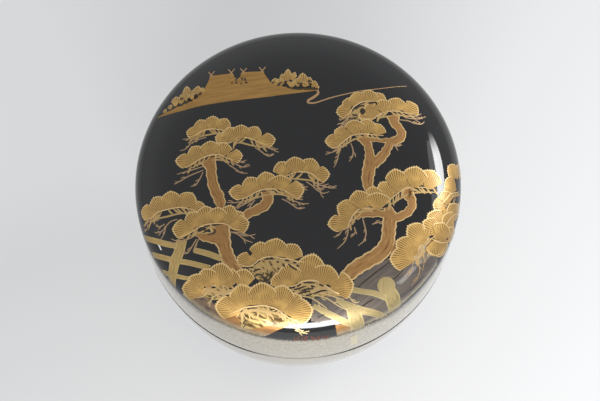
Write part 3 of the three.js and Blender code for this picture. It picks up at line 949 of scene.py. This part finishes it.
def stroke(points, width, height):
    """A thin drawn line that tapers to its end."""
    return ribbon(points, (0.8 * width, width, width, 0.55 * width), height, STROKE_RELIEF, 2, 4)


def forked(points, width, height, dice):
    """A twig with two short forks."""
    path = smooth_path(points)
    parts = [stroke(points, width, height)]
    for share in FORKS:
        root, down = on_path(path, share + dice.uniform(-0.08, 0.08))
        ahead = Vector((-down.y, down.x))
        side = down * dice.choice((-1, 1))
        reach = dice.uniform(0.5, 1.3)
        middle = root + (ahead * 0.35 + side * 0.35) * reach
        tip = root + (ahead + side * dice.uniform(0.3, 0.8)) * reach
        parts.append(stroke((root, middle, tip), 0.8 * width, height + FORK_STEP))
    return parts


def twig_weave(lower, upper, height, dice, pitch=WEAVE_PITCH):
    """Bent twigs that cross a bed from its upper line to its lower one."""
    low, high = smooth_path(lower), smooth_path(upper)
    count = round(path_length(high) / pitch)
    parts = []
    for k in range(count):
        share = (k + dice.random()) / count
        start = on_path(high, share)[0]
        end = start.lerp(on_path(low, share + dice.uniform(-0.04, 0.3))[0], dice.uniform(0.5, 1))
        bend = Vector((dice.uniform(-0.5, 0.5), dice.uniform(-0.3, 0.5)))
        widths = (0.2, dice.uniform(0.34, 0.5), 0.2)
        rise = height + WEAVE_STEP * (k % 4)
        parts.append(ribbon((start, (start + end) / 2 + bend, end), widths, rise, STROKE_RELIEF, 2, 4))
    return parts


def ladder(lower, upper, height, rungs, rows=5):
    """A flat area between two lines of paired points."""
    piece = sheet_grid(rungs, rows)
    low = [Vector(p) for p in lower]
    high = [Vector(p) for p in upper]

    def on(line, share):
        spot = share * (len(line) - 1)
        k = min(int(spot), len(line) - 2)
        return line[k].lerp(line[k + 1], spot - k)

    def place(across, along):
        point = on(low, across).lerp(on(high, across), along)
        return (point.x, point.y, height)

    shape_grid(piece, place)
    return piece


def disc(x, y, width, height, rise, steps=10):
    """A flat round area."""
    lower, upper = [], []
    for k in range(steps + 1):
        angle = math.pi * (0.02 + 0.96 * k / steps)
        lower.append((x - width / 2 * math.cos(angle), y - height / 2 * math.sin(angle)))
        upper.append((x - width / 2 * math.cos(angle), y + height / 2 * math.sin(angle)))
    return ladder(lower, upper, rise, 2 * steps, 4)


def thicken(piece):
    """Gives flat ribbons and areas their thickness, down into the lacquer."""
    take(piece)
    bpy.ops.object.modifier_add(type="SOLIDIFY")
    modifier = piece.modifiers[-1]
    modifier.thickness = RIBBON_DEPTH
    modifier.offset = -1
    bpy.ops.object.modifier_apply(modifier=modifier.name)
    in_edit_mode(
        piece,
        lambda: bpy.ops.mesh.select_all(action="SELECT"),
        lambda: bpy.ops.mesh.normals_make_consistent(inside=False),
    )
    return piece


# Layers: a pile remembers each tuft as a disc (x, y, radius, layer), so that what comes later lies over it


def layer_over(pile, points, radius):
    """The first free layer over some points."""
    layers = [
        layer + 1
        for x, y, reach, layer in pile
        for point in points
        if math.hypot(point[0] - x, point[1] - y) < reach + radius
    ]
    return max(layers, default=0)


def pile_up(pile, root_x, root_y, tip_x, tip_y, width):
    """Puts a tuft on the pile and gives its layer."""
    x, y = blend(root_x, tip_x, 0.56), blend(root_y, tip_y, 0.56)
    reach = 0.23 * (width + math.hypot(tip_x - root_x, tip_y - root_y))
    layer = layer_over(pile, [(x, y)], reach)
    pile.append((x, y, reach, layer))
    return layer


def twig_band(line, start, end, drop, height, dice):
    """The twigs under a pad: a bent branch below its line, and slanted struts up to it."""
    span = end - start
    low = []
    for share in (0, 0.25, 0.5, 0.75, 1):
        point, down = on_path(line, start + span * share)
        low.append(point + down * drop * (0.5 + 0.5 * math.sin(math.pi * share)))
    parts = [ribbon(low, (0.18, 0.34, 0.4, 0.34, 0.18), height, STROKE_RELIEF, 2, 4)]
    count = max(3, round(path_length(line) * span / STRUT_PITCH))
    for k in range(count):
        share = start + span * (k + 0.5 + dice.uniform(-0.25, 0.25)) / count
        top, down = on_path(line, share)
        ahead = Vector((-down.y, down.x))
        lean = (1 if share > (start + end) / 2 else -1) * dice.uniform(1.0, 2.0)
        foot = top + ahead * lean + down * drop * dice.uniform(0.8, 1.05)
        middle = (top + foot) / 2 + down * dice.uniform(0, 0.25)
        widths = (0.16, 0.46, 0.24)
        parts.append(ribbon((top, middle, foot), widths, height + FORK_STEP, STROKE_RELIEF, 2, 3))
    return parts


def pad_bed(line, reach, height):
    """Needles that fill the gaps between the roots of a pad's tufts."""
    points = []
    for k in range(7):
        point, down = on_path(line, 0.1 + 0.8 * k / 6)
        points.append(point - down * BED_RISE * reach)
    width = BED_WIDTH * reach
    piece = ribbon(points, (0.5 * width, 0.9 * width, width, 0.9 * width, 0.5 * width), height, 0, 4, 5)
    for loop in piece.data.uv_layers.active.data:
        loop.uv = (loop.uv.y / NEEDLE_PITCH, 0.7 * loop.uv.x)
    return piece


def make_pad(pile, blanks, parts, line, tufts, twigs, dice):
    """One pad, from its twigs up to the line along its underside."""
    path = smooth_path(line)
    if twigs:
        start, end, drop = twigs
        points = [on_path(path, start + (end - start) * k / 5)[0] for k in range(6)]
        height = TWIG_HEIGHT + LAYER * layer_over(pile, points, 0.4)
        parts["twigs"] += twig_band(path, start, end, drop, height, dice)
    points = [on_path(path, k / 6) for k in range(7)]
    reach = sum(math.dist(shape[:2], shape[2:4]) for shape in tufts) / len(tufts)
    bed_layer = layer_over(pile, [point - down * BED_RISE * reach for point, down in points], 0.2 * reach)
    parts["beds"].append(pad_bed(path, reach, TUFT_HEIGHT - AREA_STEP + LAYER * bed_layer))
    for shape in tufts:
        layer = max(pile_up(pile, *shape), bed_layer)
        pile[-1] = (*pile[-1][:3], layer)
        parts["tufts"].append(tuft(blanks, *shape, TUFT_HEIGHT + LAYER * layer))
    over = layer_over(pile, [point for point, down in points], 0.1)
    height = TWIG_HEIGHT + LAYER * over
    parts["lines"].append(ribbon(line, (0.1, 0.22, 0.25, 0.22, 0.1), height, LINE_RELIEF, 2, 5))


# Materials


def node(material, kind, **values):
    made = material.node_tree.nodes.new(kind)
    for name, value in values.items():
        setattr(made, name, value)
    return made


def link(material, source, target):
    material.node_tree.links.new(source, target)


def new_material(name, roughness, metallic=0.0, color=(0.5, 0.5, 0.5)):
    material = bpy.data.materials.new(name)
    material.use_nodes = True
    shader = material.node_tree.nodes["Principled BSDF"]
    shader.inputs["Roughness"].default_value = roughness
    shader.inputs["Metallic"].default_value = metallic
    shader.inputs["Base Color"].default_value = (*color, 1)
    return material, shader


def math_node(material, operation, first, second=None, third=None, clamp=False):
    made = node(material, "ShaderNodeMath", operation=operation, use_clamp=clamp)
    for socket, value in zip(made.inputs, (first, second, third)):
        if value is None:
            continue
        if isinstance(value, (int, float)):
            socket.default_value = value
        else:
            link(material, value, socket)
    return made.outputs[0]


def ramp(material, factor, start, end, from_value=0.0, to_value=1.0, smooth=True):
    made = node(material, "ShaderNodeMapRange", interpolation_type="SMOOTHSTEP" if smooth else "LINEAR")
    link(material, factor, made.inputs["Value"])
    for name, value in (("From Min", start), ("From Max", end), ("To Min", from_value), ("To Max", to_value)):
        made.inputs[name].default_value = value
    return made.outputs["Result"]


def mixed(material, factor, first, second):
    made = node(material, "ShaderNodeMix", data_type="RGBA")
    for socket, value in ((made.inputs[0], factor), (made.inputs[6], first), (made.inputs[7], second)):
        if isinstance(value, (int, float)):
            socket.default_value = value
        elif isinstance(value, tuple):
            socket.default_value = (*value, 1)
        else:
            link(material, value, socket)
    return made.outputs[2]


def noise(material, vector, scale, detail=2.0, roughness=0.5):
    made = node(material, "ShaderNodeTexNoise")
    made.inputs["Scale"].default_value = scale
    made.inputs["Detail"].default_value = detail
    made.inputs["Roughness"].default_value = roughness
    link(material, vector, made.inputs["Vector"])
    return made.outputs["Fac"]


def bump(material, shader, height, strength, distance):
    made = node(material, "ShaderNodeBump")
    made.inputs["Strength"].default_value = strength
    made.inputs["Distance"].default_value = distance
    link(material, height, made.inputs["Height"])
    link(material, made.outputs["Normal"], shader.inputs["Normal"])


def position(material):
    return node(material, "ShaderNodeTexCoord").outputs["Object"]


def parts_of(material, vector):
    made = node(material, "ShaderNodeSeparateXYZ")
    link(material, vector, made.inputs[0])
    return made.outputs


def flakes(material, vector, size):
    """Random values (three of them) for each flake of powder."""
    cells = node(material, "ShaderNodeTexVoronoi")
    cells.inputs["Scale"].default_value = 1 / (size * MM)
    link(material, vector, cells.inputs["Vector"])
    dice = node(material, "ShaderNodeSeparateColor")
    link(material, cells.outputs["Color"], dice.inputs[0])
    return dice.outputs


def in_metres(values):
    """Millimetres as Blender's metres."""
    return [value * MM for value in values]


def powder_color(material, vector, painted_shade=0.0):
    """Flakes of two tones, with more of the darker one on the left and more where asked, as painted shade."""
    x = parts_of(material, vector)[0]
    # Painted shade: more of the darker tone on the left, and all over by the amount asked
    shade_to_left = ramp(material, x, *in_metres(SHADE_LEFT_FROM), PAINTED_SHADE_LEFT + painted_shade, painted_shade)
    tone = math_node(material, "ADD", flakes(material, vector, TONE_PATCH)[1], shade_to_left)
    return mixed(material, tone, POWDER_LIGHT, POWDER_DARK)


def off_joint(material, vector):
    """0 in the bare groove between lid and body, painted dark as shade, and 1 off it; the powder closes in on
    it at the front.
    """
    x, _, level = parts_of(material, vector)
    away = math_node(material, "ABSOLUTE", math_node(material, "SUBTRACT", level, JOINT_LEVEL * MM))
    aside = math_node(material, "ABSOLUTE", x)
    closing = ramp(material, aside, *in_metres(BARE_SHADE_FROM), BARE_SHADE_AT_FRONT, 1)
    scaled = math_node(material, "DIVIDE", away, closing)
    return ramp(material, scaled, *in_metres(JOINT_BARE_SHADE))


def lid_powder(material, vector):
    """Share of powder on the lid: dense low on the wall, and softer edged towards the sides."""
    x, y, level = parts_of(material, vector)
    wander = noise(material, vector, WANDER_SCALE, 3)
    away = math_node(material, "ABSOLUTE", x)
    fringe = ramp(material, away, *in_metres(FADE_SIDES), *in_metres(POWDER_FADE))
    behind = ramp(material, y, *in_metres(LOWERED_FROM), 0, POWDER_LOWERED * MM)
    beside = ramp(material, away, *in_metres(SIDES_FROM), 0, SIDES_LOWERED * MM)
    lowered = math_node(material, "MAXIMUM", behind, beside)
    above = math_node(material, "SUBTRACT", math_node(material, "ADD", level, lowered), POWDER_TOP * MM)
    rough = math_node(material, "MULTIPLY_ADD", wander, LID_WANDER * MM, above)
    share = math_node(material, "DIVIDE", rough, fringe)
    return ramp(material, share, *FADE_SHARES, POWDER_DENSITY, 0)


def body_powder(material, vector):
    """Share of powder on the body: dense under the joint, and none near the foot."""
    level = parts_of(material, vector)[2]
    wander = noise(material, vector, WANDER_SCALE, 3)
    rough = math_node(material, "MULTIPLY_ADD", wander, BODY_WANDER * MM, level)
    fade = [(value + BODY_WANDER / 2) * MM for value in BODY_POWDER]
    return ramp(material, rough, *fade, 0, POWDER_DENSITY)


def lacquer(name, powder, painted_shade=0.0):
    """Black lacquer with gold powder sprinkled over its share of the surface, but not on the joint, which is
    painted dark as shade with its reflection turned down; its powder can be made darker as painted shade.
    """
    material, shader = new_material(name, COAT_POLISH)
    vector = position(material)
    shown = off_joint(material, vector)
    density = math_node(material, "MULTIPLY", powder(material, vector), shown)
    dice = flakes(material, vector, FLAKE)
    flake = math_node(material, "LESS_THAN", dice[0], density)
    ground = mixed(material, density, LACQUER_BLACK, POWDER_GROUND)
    color = mixed(material, flake, ground, powder_color(material, vector, painted_shade))
    aside = math_node(material, "ABSOLUTE", parts_of(material, vector)[0])
    # Painted shade in the joint's groove: lighter at the front, near black aside
    groove = mixed(material, ramp(material, aside, *in_metres(BARE_SHADE_FROM)), GROOVE_SHADE_AT_FRONT, GROOVE_SHADE_ASIDE)
    link(material, mixed(material, shown, groove, color), shader.inputs["Base Color"])
    link(material, flake, shader.inputs["Metallic"])
    # Reflection turned off in the joint's groove, as part of its painted shade
    link(material, math_node(material, "MULTIPLY", shown, 0.5), shader.inputs["Specular IOR Level"])
    link(material, flake, shader.inputs["Coat Weight"])
    shader.inputs["Coat Roughness"].default_value = COAT_POLISH
    link(material, ramp(material, flake, 0, 1, LACQUER_POLISH, POWDER_POLISH), shader.inputs["Roughness"])
    bump(material, shader, math_node(material, "MULTIPLY", dice[2], flake), 0.1, 0.02 * MM)
    return material


def plain_lacquer(name):
    """Bare lacquer, in the slivers left open in the gold and in the joints of the deck."""
    material, shader = new_material(name, 0.12)
    vector = position(material)
    color = mixed(material, noise(material, vector, 900), LACQUER_BLACK, SLIVER_BROWN)
    link(material, color, shader.inputs["Base Color"])
    return material


def faded(material, vector, color):
    """A colour of the picture, turning into powder low on the wall."""
    level = parts_of(material, vector)[2]
    share = ramp(material, level, *in_metres(PICTURE_FADE), MOST_POWDER, 0)
    return mixed(material, share, color, powder_color(material, vector))


def gold_grain(material, shader, vector, fading=True):
    """The fine grain of all the gold, and its end towards the wall where it is fading."""
    level = parts_of(material, vector)[2]
    if fading:
        shown = ramp(material, level, *in_metres(PICTURE_END), 0, 1)
        link(material, shown, shader.inputs["Alpha"])
    grain = noise(material, vector, GRAIN_SCALE, 2)
    link(material, ramp(material, grain, 0.3, 0.7, *GRAIN_POLISH), shader.inputs["Roughness"])
    bump(material, shader, grain, 0.15, 0.03 * MM)


def needle_gold(name, needle, groove, rim):
    """Gold tufts: needles drawn out to a light rim, with dark grooves between them."""
    material, shader = new_material(name, 0.42, 1.0)
    shader.inputs["Coat Weight"].default_value = 0.6
    shader.inputs["Coat Roughness"].default_value = 0.22
    uv = parts_of(material, node(material, "ShaderNodeUVMap").outputs[0])
    vector = position(material)
    off_needle = math_node(material, "PINGPONG", uv[0], 0.5)
    on_needle = ramp(material, off_needle, 0.1, 0.3)
    patches = noise(material, vector, 420, 3)
    groove_here = mixed(material, ramp(material, patches, 0.4, 0.8), groove, needle)
    body = mixed(material, on_needle, groove_here, needle)
    edge = node(material, "ShaderNodeAttribute", attribute_name="rim").outputs["Fac"]
    color = mixed(material, ramp(material, edge, 0.35, 0.75), body, rim)
    link(material, faded(material, vector, color), shader.inputs["Base Color"])
    gold_grain(material, shader, vector)
    return material


def drawn_gold(name, fading=True):
    """Gold ribbons with long streaks and a light outline along both edges."""
    gold, streak, outline, edge_width, streaks_end = DRAWN_GOLDS[name]
    material, shader = new_material(name, 0.42, 1.0)
    uv = node(material, "ShaderNodeUVMap").outputs[0]
    stretch = node(material, "ShaderNodeMapping")
    stretch.inputs["Scale"].default_value = (4.5, 0.25, 1)
    link(material, uv, stretch.inputs["Vector"])
    streaks = noise(material, stretch.outputs[0], 1.3, 4, 0.6)
    light = tuple(min(1.6 * value, 1) for value in gold)
    dark_side = mixed(material, ramp(material, streaks, 0.3, streaks_end), streak, gold)
    inside = mixed(material, ramp(material, streaks, 0.54, 0.7, 0, 0.7), dark_side, light)
    from_edge = math_node(material, "PINGPONG", parts_of(material, uv)[0], 0.5)
    line = ramp(material, from_edge, edge_width, edge_width + 0.05, 1, 0)
    vector = position(material)
    color = mixed(material, line, inside, outline)
    if fading:
        color = faded(material, vector, color)
    link(material, color, shader.inputs["Base Color"])
    gold_grain(material, shader, vector, fading)
    return material


def brushed_metal(name):
    """Areas of metal with fine streaks that run one way."""
    plain, streak, direction, along, across, softness, coat = BRUSHED_METALS[name]
    material, shader = new_material(name, 0.42, 1.0)
    shader.inputs["Coat Weight"].default_value = coat
    shader.inputs["Coat Roughness"].default_value = 0.08
    vector = position(material)
    turn = node(material, "ShaderNodeMapping")
    turn.inputs["Rotation"].default_value = (0, 0, math.radians(-direction))
    link(material, vector, turn.inputs["Vector"])
    stretch = node(material, "ShaderNodeMapping")
    stretch.inputs["Scale"].default_value = (along, across, along)
    link(material, turn.outputs[0], stretch.inputs["Vector"])
    streaks = noise(material, stretch.outputs[0], 1, 3, 0.55)
    color = mixed(material, ramp(material, streaks, 0.52 - softness, 0.52 + softness), plain, streak)
    link(material, faded(material, vector, color), shader.inputs["Base Color"])
    gold_grain(material, shader, vector)
    return material


def finish(piece, material):
    piece.data.materials.clear()
    piece.data.materials.append(material)
    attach(piece, "root")
    return piece


def laid(name, parts, material, thick=True):
    """Joins flat parts, lays them on the caddy and gives them their finish."""
    piece = joined(name, parts)
    if thick:
        thicken(piece)
    lay_on_skin(piece)
    take(piece)
    bpy.ops.object.shade_smooth_by_angle(angle=SHARP_IN_PICTURE)
    return finish(piece, material)


def make_lacquer():
    lid = finish(turned_lid(), lacquer("lid_lacquer", lid_powder))
    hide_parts("lid")
    # The body's powder made darker as painted shade
    body = finish(turned_body(), lacquer("body_lacquer", body_powder, PAINTED_SHADE_BODY))
    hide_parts("body")


def make_pines():
    """All pads on one pile, so that each lies over those before it."""
    blanks = {count: tuft_blank(count) for count in NEEDLES}
    needles = needle_gold("needle_gold", *NEEDLE_COLORS)
    line_gold = drawn_gold("pad_line_gold")
    twig_gold = drawn_gold("twig_gold")
    tip_gold = drawn_gold("twig_tip_gold")
    pale_gold = drawn_gold("pale_twig_gold")
    dice = random.Random(7)
    pile = []
    sides = (
        ("left", PADS_LEFT, TWIGS_LEFT, tip_gold),
        ("right", PADS_RIGHT, TWIGS_RIGHT, tip_gold),
        ("front", PADS_FRONT, TWIGS_FRONT, pale_gold),
    )
    for side, pads, twigs, twig_finish in sides:
        singles = []
        for points in twigs:
            height = TWIG_HEIGHT + LAYER * layer_over(pile, points, 0.1)
            singles += forked(points, TWIG_WIDTH, height, dice)
        parts = {"tufts": [], "beds": [], "lines": [], "twigs": []}
        for line, tufts, twig_stretch in pads:
            make_pad(pile, blanks, parts, line, tufts, twig_stretch, dice)
        laid(f"pine_tufts_{side}", parts["tufts"], needles, thick=False)
        laid(f"pine_beds_{side}", parts["beds"], needles)
        laid(f"pad_lines_{side}", parts["lines"], line_gold)
        laid(f"pad_twigs_{side}", parts["twigs"], twig_gold)
        laid(f"single_twigs_{side}", singles, twig_finish)
    make_far_pines(pile, blanks, needles)
    for blank in blanks.values():
        bpy.data.objects.remove(blank)
    make_slivers(pile)
    make_twig_beds(dice, twig_gold)


def make_far_pines(pile, blanks, needles):
    for side, tufts in (("left", FAR_TUFTS_LEFT), ("right", FAR_TUFTS_RIGHT)):
        parts = []
        for shape in tufts:
            parts.append(tuft(blanks, *shape, TUFT_HEIGHT + LAYER * pile_up(pile, *shape), FAR_FULLNESS))
        laid(f"far_pine_tufts_{side}", parts, needles, thick=False)


def make_slivers(pile):
    """Black slivers on top of the gold that is there by now."""
    parts = []
    for points in GAPS:
        width = NEAR_SLIVER if points[0][1] < NEAR_SLIVERS_BEFORE else FAR_SLIVER
        parts.append(stroke(points, width, TWIG_HEIGHT + LAYER * (layer_over(pile, points, 0.2) + 0.4)))
    parts += [disc(*shape, TWIG_HEIGHT + LAYER * layer_over(pile, [shape], 1)) for shape in ROUND_GAPS]
    laid("open_slivers", parts, plain_lacquer("sliver_lacquer"))


def make_twig_beds(dice, twig_gold):
    """Dull gold behind the twigs of the nearest pads, and the twigs woven across it."""
    bed_gold = brushed_metal("twig_bed_gold")
    shining = brushed_metal("shining_bed_gold")
    laid("shining_bed", [ladder(*SHINING_BED, TRUNK_HEIGHT, 40, 16)], shining)
    pale = brushed_metal("pale_bed_gold")
    laid("pale_bed", [ladder(*PALE_BED, TRUNK_HEIGHT, 18, 14)], pale)
    laid("twig_beds", [ladder(*shape, TRUNK_HEIGHT, 36, 12) for shape in TWIG_BEDS], bed_gold)
    weave = []
    for lower, upper in TWIG_BEDS:
        weave += twig_weave(lower, upper, TWIG_HEIGHT, dice)
    weave += twig_weave(*PALE_BED, TWIG_HEIGHT, dice)
    weave += twig_weave(*SHINING_BED, TWIG_HEIGHT, dice, WIDE_WEAVE_PITCH)
    laid("twig_weave", weave, twig_gold)


def make_trunks():
    bark = drawn_gold("bark_gold")
    for side, trunks in (("left", TRUNKS_LEFT), ("right", TRUNKS_RIGHT)):
        parts = []
        for k, (points, widths) in enumerate(trunks):
            height = TRUNK_HEIGHT - TRUNK_STEP * k
            parts.append(ribbon(points, widths, height, LINE_RELIEF, 8, 8, BARK_KNOBS))
        laid(f"pine_trunks_{side}", parts, bark)


def make_rails():
    left_gold = drawn_gold("rail_gold_left")
    right_gold = drawn_gold("rail_gold_right")
    for side, rails, rail_gold in (("left", RAILS_LEFT, left_gold), ("right", RAILS_RIGHT, right_gold)):
        parts = []
        for k, (points, widths) in enumerate(rails):
            parts.append(ribbon(points, widths, RAIL_HEIGHT + TRUNK_STEP * k, RAIL_RELIEF, 6))
        if side == "right":
            parts += [disc(*shape, RAIL_HEIGHT + CAP_STEP) for shape in POST_CAPS]
        laid(f"rails_{side}", parts, rail_gold)
    dusty_gold = drawn_gold("post_on_wall_gold", fading=False)
    laid("post_on_wall", [ribbon(*POST_ON_WALL, RAIL_HEIGHT, RAIL_RELIEF, 6)], dusty_gold)


def make_ground():
    silver = brushed_metal("deck_silver")
    laid("deck", [ladder(*DECK, GROUND_HEIGHT, 44, 14)], silver)
    joints = [stroke(points, width, GROUND_HEIGHT + AREA_STEP) for points, width in PLANK_JOINTS]
    laid("plank_joints", joints, plain_lacquer("joint_lacquer"))
    red = brushed_metal("ground_red_gold")
    laid("ground_red", [ladder(*shape, GROUND_HEIGHT, 40, 18) for shape in GROUND_RED], red)
    brown = brushed_metal("ground_brown_gold")
    laid("ground_brown", [ladder(*GROUND_BROWN, GROUND_HEIGHT, 30, 18)], brown)
    blades = grass_blades(*GRASS_TIPS, random.Random(3))
    laid("grass_tips", blades, drawn_gold("grass_gold", fading=False))


def grass_blades(first, last, count, top, bottom, dice):
    blades = []
    for k in range(count):
        x = blend(first, last, k / (count - 1)) + dice.uniform(-0.2, 0.2)
        lean = dice.uniform(-0.7, 0.7)
        start, end = top + dice.uniform(-0.3, 0.3), bottom + dice.uniform(-0.2, 0.5)
        path = [(x, start), (x + 0.7 * lean, blend(start, end, 0.5)), (x + lean, end)]
        blades.append(stroke(path, GRASS_WIDTH, GROUND_HEIGHT))
    return blades


def make_far_shore():
    laid("far_hill", [ladder(*HILL, RAIL_HEIGHT, 108, 6)], brushed_metal("hill_gold"))
    parts = []
    for x, y in FINIALS:
        for lean in (-1, 1):
            foot = (x - 0.35 * lean, y - 0.5)
            tip = (x + 0.75 * lean, y + 1.05)
            height = FINIAL_HEIGHT + WEAVE_STEP * lean
            parts.append(ribbon([foot, (x, y), tip], (0.26, 0.28, 0.22), height, LINE_RELIEF, 2, 3))
    parts.append(ribbon(*SHORE, SHORE_HEIGHT, LINE_RELIEF, 2))
    laid("far_lines", parts, drawn_gold("shore_gold"))


# The room: a pale table, even light, and the windows that the lacquer mirrors


def window(name, azimuth, elevation, width, height, radiance, shape, soft):
    """A bright window, placed by the direction in which the caddy sees it, in degrees from +X."""
    turn, rise = math.radians(azimuth), math.radians(elevation)
    direction = Vector((math.cos(turn) * math.cos(rise), math.sin(turn) * math.cos(rise), math.sin(rise)))
    place = AIM + direction * WINDOW_DISTANCE
    data = bpy.data.lights.new(name, "AREA")
    data.shape = shape
    data.size = width * MM
    data.size_y = height * MM
    area = width * height * MM * MM * (math.pi / 4 if shape == "ELLIPSE" else 1)
    data.energy = radiance * math.pi * area
    if soft:
        data.use_nodes = True
        spot = node(data, "ShaderNodeNewGeometry").outputs["Parametric"]
        across = math_node(data, "PINGPONG", parts_of(data, spot)[0], 0.5)
        emission = data.node_tree.nodes["Emission"]
        link(data, ramp(data, across, 0, soft), emission.inputs["Strength"])
    made = bpy.data.objects.new(name, data)
    bpy.context.collection.objects.link(made)
    made.location = place * MM
    made.rotation_euler = (AIM - place).to_track_quat("-Z", "Y").to_euler()


def make_room():
    make_table()
    make_world()
    for name, values in WINDOWS.items():
        window(name, *values)
    bpy.context.scene.view_settings.view_transform = "Standard"


def make_table():
    deselect_all()
    bpy.ops.mesh.primitive_plane_add(size=4, location=(0, 0, 0))
    table = renamed(bpy.context.object, "table")
    material, shader = new_material("pale_table", 0.6, 0.0, TABLE_COLOR)
    x, y, _ = parts_of(material, position(material))
    in_middle, to_right, to_back = TABLE_GLOW
    sideways = math_node(material, "MULTIPLY_ADD", x, to_right, in_middle)
    strength = math_node(material, "MULTIPLY_ADD", y, to_back, sideways)
    shader.inputs["Emission Color"].default_value = GLOW_TINT
    glow = ramp(material, strength, *GLOW_LIMITS, *GLOW_LIMITS, False)
    link(material, glow, shader.inputs["Emission Strength"])
    table.data.materials.append(material)


def make_world():
    world = bpy.data.worlds.new("soft_studio")
    world.use_nodes = True
    background = world.node_tree.nodes["Background"]
    direction = node(world, "ShaderNodeTexCoord").outputs["Generated"]
    rise = parts_of(world, direction)[2]
    background.inputs["Color"].default_value = ROOM_TINT
    horizon, halfway, overhead = ROOM_BRIGHTNESS
    lower = ramp(world, rise, *LOWER_ROOM, horizon / halfway, 1)
    upper = ramp(world, rise, *UPPER_ROOM, halfway, overhead)
    link(world, math_node(world, "MULTIPLY", lower, upper), background.inputs["Strength"])
    bpy.context.scene.world = world


def make_camera():
    back = Vector((0, -math.cos(CAMERA_ELEVATION), math.sin(CAMERA_ELEVATION)))
    upward = Vector((0, math.sin(CAMERA_ELEVATION), math.cos(CAMERA_ELEVATION)))
    place = Vector((0, 0, AIM.z)) + back * CAMERA_DISTANCE
    target = AIM - upward * AIM_DROP
    data = bpy.data.cameras.new("camera")
    data.sensor_width = SENSOR_WIDTH
    data.lens = CAMERA_DISTANCE * PIXELS_PER_MM * SENSOR_WIDTH / PICTURE_WIDTH
    data.clip_start = 0.01
    camera = bpy.data.objects.new("camera", data)
    bpy.context.collection.objects.link(camera)
    camera.location = place * MM
    camera.rotation_euler = (target - place).to_track_quat("-Z", "Y").to_euler()
    bpy.context.scene.camera = camera


make_camera()
make_room()
make_lacquer()
make_far_shore()
make_ground()
make_rails()
make_trunks()
make_pines()
